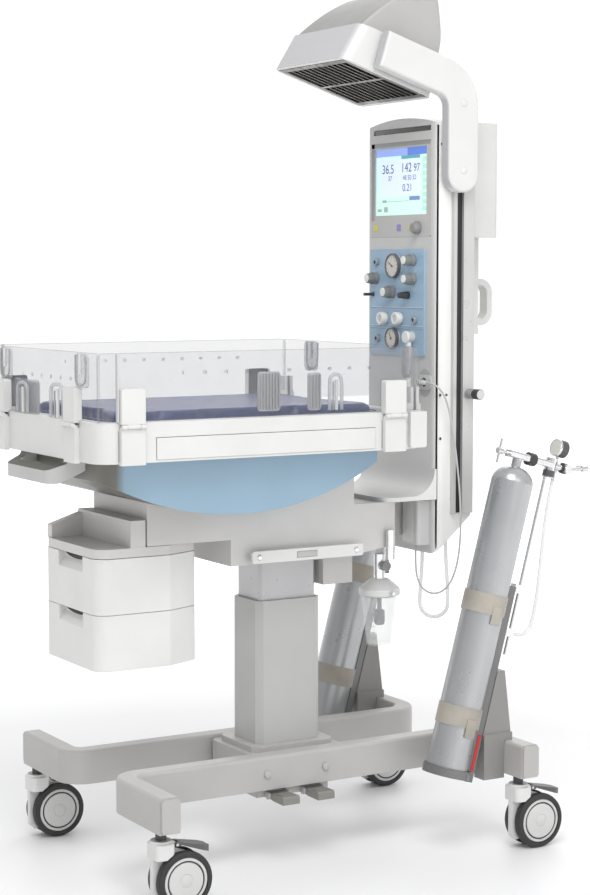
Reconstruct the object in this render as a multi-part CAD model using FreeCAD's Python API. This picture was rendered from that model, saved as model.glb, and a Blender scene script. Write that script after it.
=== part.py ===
import FreeCAD, Part
import math
import os

# Infant radiant warmer, millimetres, +Z up.
# The origin is on the floor, midway between the casters. -Y is the foot end, +Y is the
# console end, and +X is the side that the accessory rail and the hood arm are on.

V = FreeCAD.Vector
X_AXIS = V(1, 0, 0)
Y_AXIS = V(0, 1, 0)
Z_AXIS = V(0, 0, 1)

# Fits
RUNNING = 0.05
SLIDING = 0.4
TOUCH = 0.3

# Casters
WHEEL_D = 125.0
WHEEL_W = 22.0
TYRE_T = 12.0
WEB_T = 14.0
WEB_PLAY = 1.0
TRAIL = 44.0
AXLE_R = 5.0
AXLE_INSET = 4.0
FORK_R = 22.0
FORK_COLLAR_H = 26.0
FORK_TOP = 150.0
HOOD_PLAY = 2.5
STEM_R = 11.5
STEM_BITE = 22.0
LEVER_PIVOT_Y = 30.0
LEVER_END_Y = 104.0
LEVER_T = 8.0
LEVER_DROP = 14.0
LEVER_TOE_T = 14.0
LEVER_ROOT_LIFT = 3.0
LEVER_W = 34.0
LEVER_PIN_R = 3.0
LEVER_SINK = 7.5
TOE_CUT = 14.0
TOE_FLARE = 1.25
TOE_TIP = 0.8
PIVOT_X = 320.0
PIVOT_FRONT_Y = -450.0
PIVOT_REAR_Y = 460.0

# Base rails
RAIL_Z = 168.0
RAIL_H = 76.0
RAIL_W = 46.0
RAIL_EDGE_R = 8.0
LANE_X = 125.0
ARM_FRONT_Y = -446.0
ARM_REAR_Y = 466.0
ARM_END_X = 354.0
BEND_FRONT_R = 37.0
BEND_REAR_R = 60.0
END_CAP_T = 7.0
END_CAP_INSET = 2.0
SCREW_CAP_R = 9.0
SCREW_CAP_T = 3.0
SCREW_CAP_Y = (-100.0, 50.0)
SCREW_CAP_Z = 204.0

# Plinth and pedals
PLINTH_Y0 = -112.0
PLINTH_Y1 = 128.0
PLINTH_LIP_Z = 236.0
PLINTH_TOP_Z = 249.0
PLINTH_STEP = 15.0
PLINTH_BEVEL = 16.0
PEDAL_BOX_X0 = -60.0
PEDAL_BOX_X1 = 122.0
PEDAL_BOX_Y0 = -112.0
PEDAL_BOX_Y1 = 72.0
PEDAL_BOX_Z0 = 146.0
PEDAL_W = 42.0
PEDAL_Y = (-66.0, 24.0)
PEDAL_AXIS_X = 134.0
PEDAL_AXIS_Z = 151.0
PEDAL_TIP_X = 196.0
PEDAL_T = 18.0
PEDAL_BARREL_R = 8.0
PEDAL_PIN_R = 3.0
PEDAL_EAR_T = 5.0
PEDAL_GAP = 0.5

# Lifting column
SLEEVE_X = 62.0
SLEEVE_Y0 = -75.0
SLEEVE_Y1 = 91.0
SLEEVE_TOP_Z = 575.0
SLEEVE_WALL = 9.0
SLEEVE_BEVEL = 14.0
SLEEVE_FLOOR_Z = 190.0
TUBE_WALL = 6.0
TUBE_BOTTOM_Z = 325.0
LIFT_DOWN = 70.0
LIFT_UP = 170.0

# Carrier
BEAM_X = 134.0
BEAM_Y0 = -385.0
BEAM_Y1 = 243.0
BEAM_Z0 = 730.0
BEAM_Z1 = 790.0
HEAD_Y0 = -183.0
HEAD_Y1 = 109.0
HEAD_Z0 = 672.0
NECK_X0 = -120.0
NECK_X1 = 50.0
NECK_Z0 = 700.0
REAR_BLOCK_Z0 = 689.0
REAR_NOSE = 9.0
MOTOR_X = 60.0
MOTOR_Y1 = 175.0
MOTOR_Z0 = 600.0
COVER_Y0 = -424.0
COVER_Y1 = -389.0
COVER_TOP_Z = 787.0
CHEEK_Y0 = -498.0
CHEEK_T = 24.0
CHEEK_Z0 = 729.0
CHEEK_NOSE_Z = 757.0
SADDLE_TOP_Z = 853.0
SADDLE_Y1 = 133.0

# Tilt of the bassinet: its keel is an arc about this axis
TILT_Y = -219.5
KEEL_R = 656.0
KEEL_LOW_Z = 802.0
TILT_Z = KEEL_LOW_Z + KEEL_R
KEEL_X = 250.0
KEEL_Y0 = -530.0
KEEL_CORNER_R = 60.0
KEEL_REACH = 150.0
KEEL_Y1 = 120.0
KEEL_WALL = 4.0

# Accessory rail
ACC_Y0 = -142.0
ACC_Y1 = 143.0
ACC_Z0 = 677.0
ACC_Z1 = 704.0
ACC_T = 10.0
ACC_GAP = 14.0
ACC_POST_R = 8.0
ACC_POST_INSET = 18.0
ACC_SCREW_R = 5.0
ACC_SCREW_T = 1.5

# Swivel drawers
DRAWER_X = 134.0
DRAWER_Y0 = -503.0
DRAWER_SIDE_Y = -331.0
DRAWER_BACK_X = 98.0
DRAWER_BACK_Y = -250.0
DRAWER_BACK_R = 18.0
DRAWER_POST_Y = -300.0
DRAWER_POST_R = 12.0
DRAWER_BOSS_R = 22.0
DRAWER_FRONT_R = 34.0
DRAWER_FAR_R = 16.0
DRAWER_WALL = 3.5
DRAWER_LOW_Z = 469.0
DRAWER_H = 119.0
DRAWER_GAP = 1.0
DRAWER_PLATE_T = 21.0
SCOOP_W = 124.0
SCOOP_H = 34.0
SCOOP_DEEP = 15.0
SCOOP_FLOOR_T = 3.0

# Bassinet tray
TRAY_X = 300.0
TRAY_Y0 = -575.0
TRAY_Y1 = 209.0
TRAY_Z0 = 926.0
TRAY_Z1 = 1008.0
TRAY_CORNER_R = 40.0
TRAY_RIM = 38.0
TRAY_DECK_Z = 985.0
CASSETTE_Y0 = -444.0
CASSETTE_Y1 = 82.0
CASSETTE_Z0 = 931.0
CASSETTE_Z1 = 976.0
CASSETTE_FAR_X = -262.0
CASSETTE_FLOOR_T = 4.0
CASSETTE_WALL = 8.0
CASSETTE_FRONT_T = 12.0
CASSETTE_PLAY = 1.0
CORNER_BLOCK_Y0 = 167.0
CORNER_BLOCK_Z1 = 1025.0
GUIDE_Z1 = 1060.0
GUIDE_T = 8.0

# Mattress
MATTRESS_X = 240.0
MATTRESS_Y0 = -504.0
MATTRESS_Y1 = 138.0
MATTRESS_T = 36.0
MATTRESS_CORNER_R = 45.0

# Clear panels and their hinges
PANEL_T = 6.0
PANEL_TOP_Z = 1149.0
PANEL_LIFT = 2.0
PANEL_OUT = 294.0
PANEL_END_GAP = 2.0
PANEL_FRONT_Y = -569.0
PANEL_REAR_Y = 191.0
HINGE_W = 54.0
HINGE_LOW_T = 11.5
HINGE_HIGH_T = 18.5
HINGE_TOP_Z = 1078.0
HINGE_AXIS_OUT = 13.5
HINGE_AXIS_Z = 1001.0
HINGE_BARREL_R = 4.5
HINGE_PIN_R = 2.0
HINGE_END_W = 12.0
HINGE_PLAY = 0.5
SIDE_HINGE_Y = (-501.0, 128.0)
FRONT_HINGE_X = (-185.0, 185.0)

# Push handle
HANDLE_Y0 = -605.0
HANDLE_Y1 = KEEL_Y0 - TOUCH
HANDLE_FRONT_X = 108.0
HANDLE_BACK_X = 142.0
HANDLE_BAR = 22.0
HANDLE_ARM = 30.0
HANDLE_Z0 = 873.0
HANDLE_T = 27.0
HANDLE_CORNER_R = 24.0
HANDLE_ROOT_Y = -566.0
HANDLE_RISE = 18.0

# Console
CON_X = 150.0
CON_Y0 = 343.0
CON_Y1 = 441.0
CON_TOP_Z = 1648.0
CON_CROWN = 17.0
CON_LOW_Z = 663.0
CON_LOW_BACK_Z = 748.0
CON_WALL = 5.0
CON_EDGE_R = 22.0
FOOT_Y0 = 205.0
FOOT_TOP_Z = 800.0
FOOT_X = 148.0
FOOT_CORNER_R = 45.0
COVE_R = 60.0
TRACK_T = 10.0
TRACK_Y0 = 384.0
TRACK_Z0 = 755.0
TRACK_Z1 = 1640.0
SLOT_Y0 = 393.0
SLOT_Y1 = 411.0
SLOT_LIP = 4.0
SLOT_WIDE = 4.0
SLOT_DEPTH = 8.0
LAMP_X0 = -118.0
LAMP_X1 = 124.0
LAMP_Z = 1638.0
LAMP_H = 12.0
LAMP_DEPTH = 4.0
SEAT_WALL = 4.0

# Display
DISP_X = 125.0
DISP_Z0 = 1392.0
DISP_Z1 = 1612.0
DISP_T = 6.0
SCREEN_X = 108.0
SCREEN_Z0 = 1443.0
SCREEN_Z1 = 1598.0
SCREEN_SINK = 2.5
SCREEN_T = 2.0
DIAL_X = 73.0
DIAL_Z = 1412.0
DIAL_R = 15.0
DIAL_LEN = 16.0
KEY_X = (-106.0, -6.0, 44.0)
KEY_Z = 1414.0
KEY_R = 6.0
KEY_PROUD = 1.5
SHAFT_R = 3.0
SHAFT_BITE = 8.0
SHAFT_WALL = 5.0

# Gas panel
GAS_X0 = -122.0
GAS_X1 = 107.0
GAS_Z0 = 1117.0
GAS_Z1 = 1363.0
GAS_T = 5.0
GAS_RIB_Z = (1228.0, 1180.0)
GAS_RIB_T = 1.0
GAUGES = ((-14.0, 1325.0, 29.0), (-17.0, 1156.0, 25.0))
GAUGE_T = 9.0
PORTS = ((-92.0, 1334.0), (71.0, 1200.0), (-86.0, 1154.0))
PORT_R = 9.0
PORT_T = 6.0
CAPPED = ((-56.0, 1202.0), (8.0, 1203.0))
CAPPED_R = 14.0
CAPPED_T = 16.0
KNOBS = (
    ("knob_flow", 61.0, 1338.0, 14.0),
    ("knob_pressure", -96.0, 1296.0, 14.0),
    ("knob_blend", 62.0, 1295.0, 14.0),
    ("knob_suction", -26.0, 1264.0, 15.0),
    ("knob_relief", 41.0, 1257.0, 9.0),
)
KNOB_LEN = 27.0
KNOB_TIP = 0.72
KNOB_GAP = 0.5
TOGGLE_X = -109.0
TOGGLE_Z = 1258.0
TOGGLE_R = 3.5
TOGGLE_LEN = 26.0
TOGGLE_BARREL_R = GAS_T - 0.5
TOGGLE_BARREL_W = 9.0
OUTLET_X = 59.0
OUTLET_Z = 1161.0
OUTLET_R = 13.0
OUTLET_T = 20.0
DROP_R = 6.5
DROP_LOW_Z = 1012.0

# Console fittings
OVAL_X = 105.0
OVAL_Z = 1058.0
OVAL_R = 17.0
OVAL_HALF = 14.0
SOCKET_R = 7.0
SOCKET_LEN = 18.0
PLUG_R = 4.5
PLUG_Y = CON_Y0 - 13.0
PLUG_LEN = 24.0
SENSOR_X0 = 60.0
SENSOR_X1 = 126.0
SENSOR_T = 32.0
SENSOR_Z0 = 683.0
SENSOR_Z1 = 786.0
STUB_Y = 425.0
STUB_Z = 1032.0
STUB_R = 11.0
STUB_LEN = 52.0
BARB_R = 6.0
BARB_LEN = 14.0
BARBS = ((70.0, 362.0), (108.0, 402.0))

# Rear box and grab handle
REAR_X = 110.0
REAR_Y1 = 545.0
REAR_Z0 = 1391.0
REAR_Z1 = 1654.0
REAR_EDGE_R = 14.0
GRAB_X = 0.0
GRAB_Y1 = 596.0
GRAB_Z0 = 1184.0
GRAB_Z1 = 1294.0
GRAB_W = 30.0
GRAB_T = 14.0
GRAB_PLATE_Y1 = 545.0

# Hood: a frame that leans towards the mattress
HOOD_Y = 86.8
HOOD_Z = 1778.9
HOOD_LEAN = 17.8
HOOD_X = 153.0
HOOD_LEN = 253.0
HOOD_H = 90.0
HOOD_FRONT_SLOPE = 23.0
HOOD_WALL = 10.0
HOOD_CORNER_R = 24.0
GRILLE_T = 8.0
GRILLE_FRAME = 14.0
GRILLE_BARS = 11
GRILLE_BAR_T = 3.5
REFLECTOR_X = 118.0
REFLECTOR_U0 = 34.0
REFLECTOR_U1 = 214.0
REFLECTOR_T = 3.0
HEATER_R = 7.0
HEATER_N = 40.0
HEATER_U = (82.0, 166.0)
DOME_X = 142.0
DOME_WALL = 4.0
DOME_EDGE_R = 9.0
# Points of the dome's side view, and the way that its inner face is set in at each
DOME_CURVE = (
    (163.0, 1873.0, 0.6, -0.8),
    (222.0, 1914.0, 0.5, -0.9),
    (268.0, 1938.0, 0.4, -0.9),
    (315.0, 1949.0, 0.0, -1.0),
    (345.0, 1934.0, -0.8, -0.6),
    (355.0, 1900.0, -1.0, -0.2),
    (360.0, 1840.0, -1.0, 0.0),
)
ARM_X0 = 160.0
ARM_X1 = 186.0
ARM_W = 84.0
ARM_LOW_Z = 1490.0
ARM_Y = 391.0
ARM_EDGE_R = 7.0
ARM_RISE = 49.0
ARM_REACH = 79.4

# Gas cylinders
GAS_CYL_X = 270.0
GAS_CYL_Y = 295.0
GAS_CYL_Z = 188.0
GAS_CYL_LEAN = 15.3
GAS_CYL_R = 48.0
GAS_CYL_LEN = 672.0
GAS_SHOULDER = 34.0
GAS_NECK_R = 11.0
GAS_NECK_TOP = 722.0
STRAP_T = 2.5
STRAP_H = 46.0
STRAP_AT = (106.0, 366.0)
RACK_DEPTH = 18.0
RACK_W = 26.0
RACK_TOP = 440.0
RACK_LOW = -6.0
FOOT_T = 9.0
FOOT_LIP = 12.0
STAND_X = 38.0
STAND_TOP_Z = 262.0
STAND_LOW_Z = 158.0
FIN_TOP_Z = 405.0
FIN_W = 30.0
FIN_TOP_LEN = 20.0
YOKE_AT = 732.0
YOKE_T = 16.0
YOKE_W = 26.0
YOKE_Y0 = -28.0
YOKE_Y1 = 146.0
THANDLE_Y = -54.0
THANDLE_LEN = 56.0
THANDLE_R = 3.0
REG_Y = 96.0
REG_R = 13.0
REG_LEN = 46.0
REG_OUT_Y = 112.0
REG_OUT_Z = 700.0
REG_OUT_R = 5.0
GAUGE_DRUM_R = 20.0
GAUGE_DRUM_T = 26.0
GAUGE_DRUM_Y = 112.0
GAUGE_DRUM_Z = 42.0
PIPE_R = 4.0
PIPE_Y1 = 200.0
ROD_Y = 88.0
ROD_R = 4.0
ROD_LOW = 284.0
CLAMP_AT = (336.0, 437.0)
CLAMP_H = 20.0
CLAMP_FACE_Y = ROD_Y + ROD_R + 5.0

# Suction unit
JAR_X = 78.0
JAR_Y = 238.0
JAR_Z0 = 453.0
JAR_Z1 = 570.0
JAR_LOW_R = 29.0
JAR_TOP_R = 42.0
JAR_WALL = 3.0
LID_Z1 = 606.0
LID_R = 47.0
VALVE_R = 13.0
VALVE_Z1 = 664.0
SPOUT_LEN = 20.0
SUCTION_KNOB_R = 11.0
SUCTION_KNOB_LEN = 16.0
FILTER_R = 11.0
FILTER_Z0 = 660.0
FILTER_Z1 = 728.0

# Cords: the points that each one passes, and its diameter
PROBE_D = 4.5
HOSE_D = 9.0


def box(x0, x1, y0, y1, z0, z1):
    """A block between two corners."""
    return Part.makeBox(x1 - x0, y1 - y0, z1 - z0, V(x0, y0, z0))


def rod(start, axis, radius, length):
    """A round bar from a point along an axis."""
    return Part.makeCylinder(radius, length, start, axis)


def tube(start, axis, outer, inner, length):
    """A round bar with a round hole right through it."""
    reach = V(axis).multiply(1.0 / axis.Length)
    hole = rod(start - reach, axis, inner, length + 2.0)
    return rod(start, axis, outer, length).cut(hole)


def fuse(shapes):
    """One solid of several that overlap or touch."""
    whole = shapes[0]
    if len(shapes) > 1:
        whole = shapes[0].multiFuse(list(shapes[1:]))
    return whole.removeSplitter()


def prism(points, normal, length):
    """A straight-sided bar: a polygon pushed along a direction."""
    wire = Part.makePolygon(list(points) + [points[0]])
    return Part.Face(wire).extrude(V(normal).multiply(length))


def prism_x(outline, x0, x1):
    """A polygon of (y, z) points pushed from x0 to x1."""
    return prism([V(x0, y, z) for y, z in outline], X_AXIS, x1 - x0)


def prism_z(outline, z0, z1):
    """A polygon of (x, y) points pushed from z0 to z1."""
    return prism([V(x, y, z0) for x, y in outline], Z_AXIS, z1 - z0)


def edges_along(shape, axis, keep=None):
    """The straight edges that run along an axis, all or those that keep accepts."""
    found = []
    for edge in shape.Edges:
        if edge.Curve.TypeId != "Part::GeomLine":
            continue
        run = edge.Vertexes[-1].Point - edge.Vertexes[0].Point
        if run.Length == 0 or abs(run.dot(axis)) < 0.999 * run.Length:
            continue
        if keep is None or keep(edge.CenterOfMass):
            found.append(edge)
    return found


def circles(shape, radius):
    """The full circular edges of one radius."""
    found = []
    for edge in shape.Edges:
        if edge.Curve.TypeId != "Part::GeomCircle":
            continue
        if edge.isClosed() and abs(edge.Curve.Radius - radius) < 0.01:
            found.append(edge)
    return found


def rounded(shape, axis, radius, keep=None):
    """The shape with its edges along an axis rounded."""
    return shape.makeFillet(radius, edges_along(shape, axis, keep))


def mirror_x(shape):
    """The same shape on the other side of the middle plane."""
    return shape.mirror(V(0, 0, 0), X_AXIS)


def write(name, *shapes):
    """Save the solids of one node as a STEP file."""
    solids = []
    for shape in shapes:
        solids.extend(shape.Solids)
    for solid in solids:
        if not solid.isValid():
            raise ValueError(name + " is not valid")
    whole = solids[0] if len(solids) == 1 else Part.makeCompound(solids)
    whole.exportStep("parts/" + name + ".step")


# Casters

WHEEL_R = WHEEL_D / 2.0
WHEEL_IN = WEB_T / 2.0 + WEB_PLAY
WHEEL_OUT = WHEEL_IN + WHEEL_W
LEVER_Z = FORK_TOP - LEVER_T - LEVER_SINK


def caster_wheels(px, py):
    """Two tyres and two discs on one axle line."""
    centre_y = py + TRAIL
    solids = []
    for side in (-1, 1):
        start = V(px + side * WHEEL_IN, centre_y, WHEEL_R)
        axis = V(side, 0, 0)
        disc_r = WHEEL_R - TYRE_T
        tyre = tube(start, axis, WHEEL_R, disc_r, WHEEL_W)
        tyre = tyre.makeFillet(TYRE_T / 3.0, circles(tyre, WHEEL_R))
        disc = rod(start, axis, disc_r, WHEEL_W - 1.0)
        bore = rod(start - axis, axis, AXLE_R + RUNNING, WHEEL_W - AXLE_INSET + 1.0)
        dish = rod(start - axis, axis, disc_r - TYRE_T, WHEEL_W / 3.0 + 1.0)
        hub = rod(start, axis, AXLE_R * 2.4, WHEEL_W / 3.0)
        disc = disc.cut(dish.cut(hub)).cut(bore)
        solids += [tyre, disc]
    return solids


def caster_fork(px, py):
    """The stem, collar, web, axle and wheel cover of one caster, one solid."""
    centre = V(px, py + TRAIL, WHEEL_R)
    collar_z = FORK_TOP - FORK_COLLAR_H
    collar = rod(V(px, py, collar_z), Z_AXIS, FORK_R, FORK_COLLAR_H)
    stem = rod(V(px, py, collar_z), Z_AXIS, STEM_R, RAIL_Z + STEM_BITE - collar_z)
    web = prism_x(
        [
            (py - FORK_R, FORK_TOP - FORK_COLLAR_H / 2.0),
            (py - FORK_R, WHEEL_R / 2.0),
            (py - FORK_R / 2.0, WHEEL_R / 3.0),
            (py + TRAIL + FORK_R / 2.0, WHEEL_R / 2.0),
            (py + TRAIL + FORK_R, WHEEL_R),
            (py + TRAIL + FORK_R / 2.0, LEVER_Z - LEVER_DROP),
            (py, FORK_TOP - FORK_COLLAR_H / 2.0),
        ],
        px - WEB_T / 2.0,
        px + WEB_T / 2.0,
    )
    cover = box(
        px - WHEEL_OUT + 3.0, px + WHEEL_OUT - 3.0,
        py - FORK_R, py + LEVER_PIVOT_Y - LEVER_T,
        WHEEL_R, FORK_TOP - 6.0,
    )
    cover = rounded(cover, Z_AXIS, FORK_R / 2.0)
    room = rod(centre - X_AXIS * 2.0 * WHEEL_OUT, X_AXIS, WHEEL_R + HOOD_PLAY, 4.0 * WHEEL_OUT)
    cover = cover.cut(room)
    low = box(
        px - WHEEL_OUT, px + WHEEL_OUT, py - 2.0 * FORK_R, py + TRAIL,
        0, collar_z - 12.0,
    )
    cover = cover.cut(low)
    axle_half = WHEEL_OUT - AXLE_INSET - 1.0
    axle = rod(centre - X_AXIS * axle_half, X_AXIS, AXLE_R, 2.0 * axle_half)
    pivot = V(px, py + LEVER_PIVOT_Y, LEVER_Z + LEVER_T / 2.0)
    ear_half = WEB_T / 2.0
    ear = rod(pivot - X_AXIS * ear_half, X_AXIS, LEVER_T / 2.0, 2.0 * ear_half)
    bridge = box(
        px - ear_half, px + ear_half, py, pivot.y,
        pivot.z - LEVER_T / 2.0, pivot.z + LEVER_T / 2.0,
    )
    pin_half = LEVER_W / 2.0
    pin = rod(pivot - X_AXIS * pin_half, X_AXIS, LEVER_PIN_R, 2.0 * pin_half)
    return fuse([collar, stem, web, cover, axle, ear, bridge, pin])


def caster_brake(px, py):
    """The brake lever: two arms on the pin and a broad toe behind."""
    pivot = V(px, py + LEVER_PIVOT_Y, LEVER_Z + LEVER_T / 2.0)
    inner = WEB_T / 2.0 + TOUCH
    outer = LEVER_W / 2.0
    z0 = LEVER_Z
    z1 = LEVER_Z + LEVER_T
    toe_y = pivot.y + LEVER_T
    pieces = []
    for side in (-1, 1):
        lug = rod(V(px + side * inner, pivot.y, pivot.z), V(side, 0, 0), LEVER_T / 2.0, outer - inner)
        lo, hi = sorted((px + side * inner, px + side * outer))
        pieces += [lug, box(lo, hi, pivot.y, toe_y + 1.0, z0, z1)]
    end_y = py + LEVER_END_Y
    plan = prism_z(
        [
            (px - outer, toe_y),
            (px + outer, toe_y),
            (px + outer * TOE_FLARE, end_y - TOE_CUT),
            (px + outer * TOE_TIP, end_y),
            (px - outer * TOE_TIP, end_y),
            (px - outer * TOE_FLARE, end_y - TOE_CUT),
        ],
        z0 - LEVER_DROP - LEVER_TOE_T,
        z1,
    )
    side_view = prism_x(
        [
            (toe_y, z0 + LEVER_ROOT_LIFT),
            (toe_y, z1),
            (end_y, z1 - LEVER_DROP),
            (end_y, z1 - LEVER_DROP - LEVER_TOE_T),
        ],
        px - WHEEL_OUT,
        px + WHEEL_OUT,
    )
    lever = fuse(pieces + [plan.common(side_view)])
    bore = rod(pivot - X_AXIS * 2.0 * outer, X_AXIS, LEVER_PIN_R + RUNNING, 4.0 * outer)
    return lever.cut(bore)


CASTERS = {
    "front_near": (PIVOT_X, PIVOT_FRONT_Y),
    "front_far": (-PIVOT_X, PIVOT_FRONT_Y),
    "rear_near": (PIVOT_X, PIVOT_REAR_Y),
    "rear_far": (-PIVOT_X, PIVOT_REAR_Y),
}


def make_casters():
    """Four casters in three nodes each."""
    for corner, (px, py) in CASTERS.items():
        write("caster_fork_" + corner, caster_fork(px, py))
        write("caster_wheels_" + corner, *caster_wheels(px, py))
        write("caster_brake_" + corner, caster_brake(px, py))


# Base

RAIL_TOP = RAIL_Z + RAIL_H
LANE_IN = LANE_X - RAIL_W / 2.0
LANE_OUT = LANE_X + RAIL_W / 2.0


def ring_quarter(cx, cy, radius, start_deg):
    """A quarter of a bent bar, about a vertical axis."""
    half = RAIL_W / 2.0
    place = V(cx, cy, RAIL_Z)
    outer = Part.makeCylinder(radius + half, RAIL_H, place, Z_AXIS, 90)
    inner = Part.makeCylinder(radius - half, RAIL_H, place, Z_AXIS, 90)
    bend = outer.cut(inner)
    bend.rotate(place, Z_AXIS, start_deg)
    return bend


def near_rail():
    """One bent rail: front arm, bend, lane beside the plinth, bend, rear arm."""
    half = RAIL_W / 2.0
    front_x = LANE_X + BEND_FRONT_R
    rear_x = LANE_X + BEND_REAR_R
    front_y = ARM_FRONT_Y + BEND_FRONT_R
    rear_y = ARM_REAR_Y - BEND_REAR_R
    pieces = [
        box(front_x, ARM_END_X, ARM_FRONT_Y - half, ARM_FRONT_Y + half, RAIL_Z, RAIL_TOP),
        ring_quarter(front_x, front_y, BEND_FRONT_R, 180),
        box(LANE_IN, LANE_OUT, front_y, rear_y, RAIL_Z, RAIL_TOP),
        ring_quarter(rear_x, rear_y, BEND_REAR_R, 90),
        box(rear_x, ARM_END_X, ARM_REAR_Y - half, ARM_REAR_Y + half, RAIL_Z, RAIL_TOP),
    ]
    rail = fuse(pieces)
    top_edges = []
    for edge in rail.Edges:
        low = edge.BoundBox.ZMin
        high = edge.BoundBox.ZMax
        at_end = edge.BoundBox.XMin > ARM_END_X - 0.01
        if abs(low - RAIL_TOP) < 0.01 and abs(high - RAIL_TOP) < 0.01 and not at_end:
            top_edges.append(edge)
    rail = rail.makeFillet(RAIL_EDGE_R, top_edges)
    for py in (PIVOT_FRONT_Y, PIVOT_REAR_Y):
        socket = rod(V(PIVOT_X, py, RAIL_Z - 1.0), Z_AXIS, STEM_R + RUNNING, STEM_BITE + TOUCH + 1.0)
        rail = rail.cut(socket)
    return rail


def rail_fittings():
    """The end caps and the round screw caps of the near rail."""
    caps = []
    half = RAIL_W / 2.0 - END_CAP_INSET
    for arm_y in (ARM_FRONT_Y, ARM_REAR_Y):
        cap = box(
            ARM_END_X, ARM_END_X + END_CAP_T, arm_y - half, arm_y + half,
            RAIL_Z + END_CAP_INSET, RAIL_TOP - END_CAP_INSET,
        )
        cap = rounded(cap, X_AXIS, RAIL_EDGE_R)
        caps.append(cap)
    for y in SCREW_CAP_Y:
        caps.append(rod(V(LANE_OUT, y, SCREW_CAP_Z), X_AXIS, SCREW_CAP_R, SCREW_CAP_T))
    return caps


def make_base():
    """Rails, plinth with pedal box, and the two pedals."""
    solids = [near_rail()] + rail_fittings()
    write("base_rails", *(solids + [mirror_x(s) for s in solids]))
    skirt = box(-LANE_IN, LANE_IN, PLINTH_Y0, PLINTH_Y1, RAIL_Z, PLINTH_LIP_Z)
    upper = box(
        -LANE_IN + PLINTH_STEP, LANE_IN - PLINTH_STEP,
        PLINTH_Y0 + PLINTH_STEP, PLINTH_Y1 - PLINTH_STEP,
        PLINTH_LIP_Z, PLINTH_TOP_Z,
    )
    skirt = skirt.makeChamfer(PLINTH_BEVEL, edges_along(skirt, Z_AXIS))
    upper = upper.makeChamfer(PLINTH_BEVEL, edges_along(upper, Z_AXIS))
    well = sleeve_core(SLEEVE_FLOOR_Z, PLINTH_TOP_Z + 1.0)
    plinth = fuse([skirt, upper]).cut(well)
    write("column_plinth", plinth, pedal_box())
    for name, y in zip(("pedal_up", "pedal_down"), PEDAL_Y):
        write(name, pedal(y))


def pedal_box():
    """The switch box under the rails with an ear on each side of each pedal."""
    body = box(
        PEDAL_BOX_X0, PEDAL_BOX_X1, PEDAL_BOX_Y0, PEDAL_BOX_Y1, PEDAL_BOX_Z0, RAIL_Z,
    )
    pieces = [body]
    half = PEDAL_W / 2.0 + PEDAL_GAP
    for y in PEDAL_Y:
        for side in (-1, 1):
            y0, y1 = sorted((y + side * half, y + side * (half + PEDAL_EAR_T)))
            nose = rod(V(PEDAL_AXIS_X, y0, PEDAL_AXIS_Z), Y_AXIS, PEDAL_BARREL_R, y1 - y0)
            root = box(
                PEDAL_BOX_X1 - 1.0, PEDAL_AXIS_X, y0, y1,
                PEDAL_BOX_Z0, PEDAL_AXIS_Z + PEDAL_BARREL_R,
            )
            pieces += [nose, root]
        pieces.append(rod(V(PEDAL_AXIS_X, y - half, PEDAL_AXIS_Z), Y_AXIS, PEDAL_PIN_R, 2.0 * half))
    return fuse(pieces)


def pedal(y):
    """A foot pedal: a barrel on its pin and a tread with a raised toe."""
    y0 = y - PEDAL_W / 2.0
    barrel = rod(V(PEDAL_AXIS_X, y0, PEDAL_AXIS_Z), Y_AXIS, PEDAL_BARREL_R, PEDAL_W)
    low = PEDAL_AXIS_Z - PEDAL_T / 2.0
    high = PEDAL_AXIS_Z + PEDAL_T / 2.0
    tread = prism(
        [
            V(PEDAL_AXIS_X, y0, PEDAL_AXIS_Z + PEDAL_BARREL_R - 2.0),
            V(PEDAL_AXIS_X + PEDAL_T, y0, high - 2.0),
            V(PEDAL_TIP_X - 4.0, y0, high),
            V(PEDAL_TIP_X, y0, high - 4.0),
            V(PEDAL_TIP_X, y0, low),
            V(PEDAL_AXIS_X + PEDAL_T, y0, low),
            V(PEDAL_AXIS_X, y0, PEDAL_AXIS_Z - PEDAL_BARREL_R + 2.0),
        ],
        Y_AXIS,
        PEDAL_W,
    )
    bore = rod(V(PEDAL_AXIS_X, y0 - 1.0, PEDAL_AXIS_Z), Y_AXIS, PEDAL_PIN_R + RUNNING, PEDAL_W + 2.0)
    return fuse([barrel, tread]).cut(bore)


# Column

def column_block(inset, bevel, z0, z1):
    """A block of the column's outline, taken in all round."""
    block = box(
        -SLEEVE_X + inset, SLEEVE_X - inset, SLEEVE_Y0 + inset, SLEEVE_Y1 - inset, z0, z1,
    )
    return block.makeChamfer(bevel, edges_along(block, Z_AXIS))


def sleeve_core(z0, z1):
    """The hollow that the inner tube slides in."""
    return column_block(SLEEVE_WALL, SLEEVE_BEVEL / 2.0, z0, z1)


def make_column():
    """Outer sleeve and inner tube of the lifting column."""
    sleeve = column_block(0, SLEEVE_BEVEL, PLINTH_TOP_Z, SLEEVE_TOP_Z)
    sleeve = sleeve.cut(sleeve_core(PLINTH_TOP_Z - 1.0, SLEEVE_TOP_Z + 1.0))
    write("column_outer", sleeve)
    inset = SLEEVE_WALL + SLIDING
    outer = column_block(inset, SLEEVE_BEVEL / 2.0, TUBE_BOTTOM_Z, HEAD_Z0)
    inner = column_block(inset + TUBE_WALL, SLEEVE_BEVEL / 2.0, TUBE_BOTTOM_Z - 1.0, HEAD_Z0 - TUBE_WALL)
    write("column_inner", outer.cut(inner))


# Carrier

def tilt_disc(radius, x0, x1):
    """A round slug about the tilt axis."""
    return rod(V(x0, TILT_Y, TILT_Z), X_AXIS, radius, x1 - x0)


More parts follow.
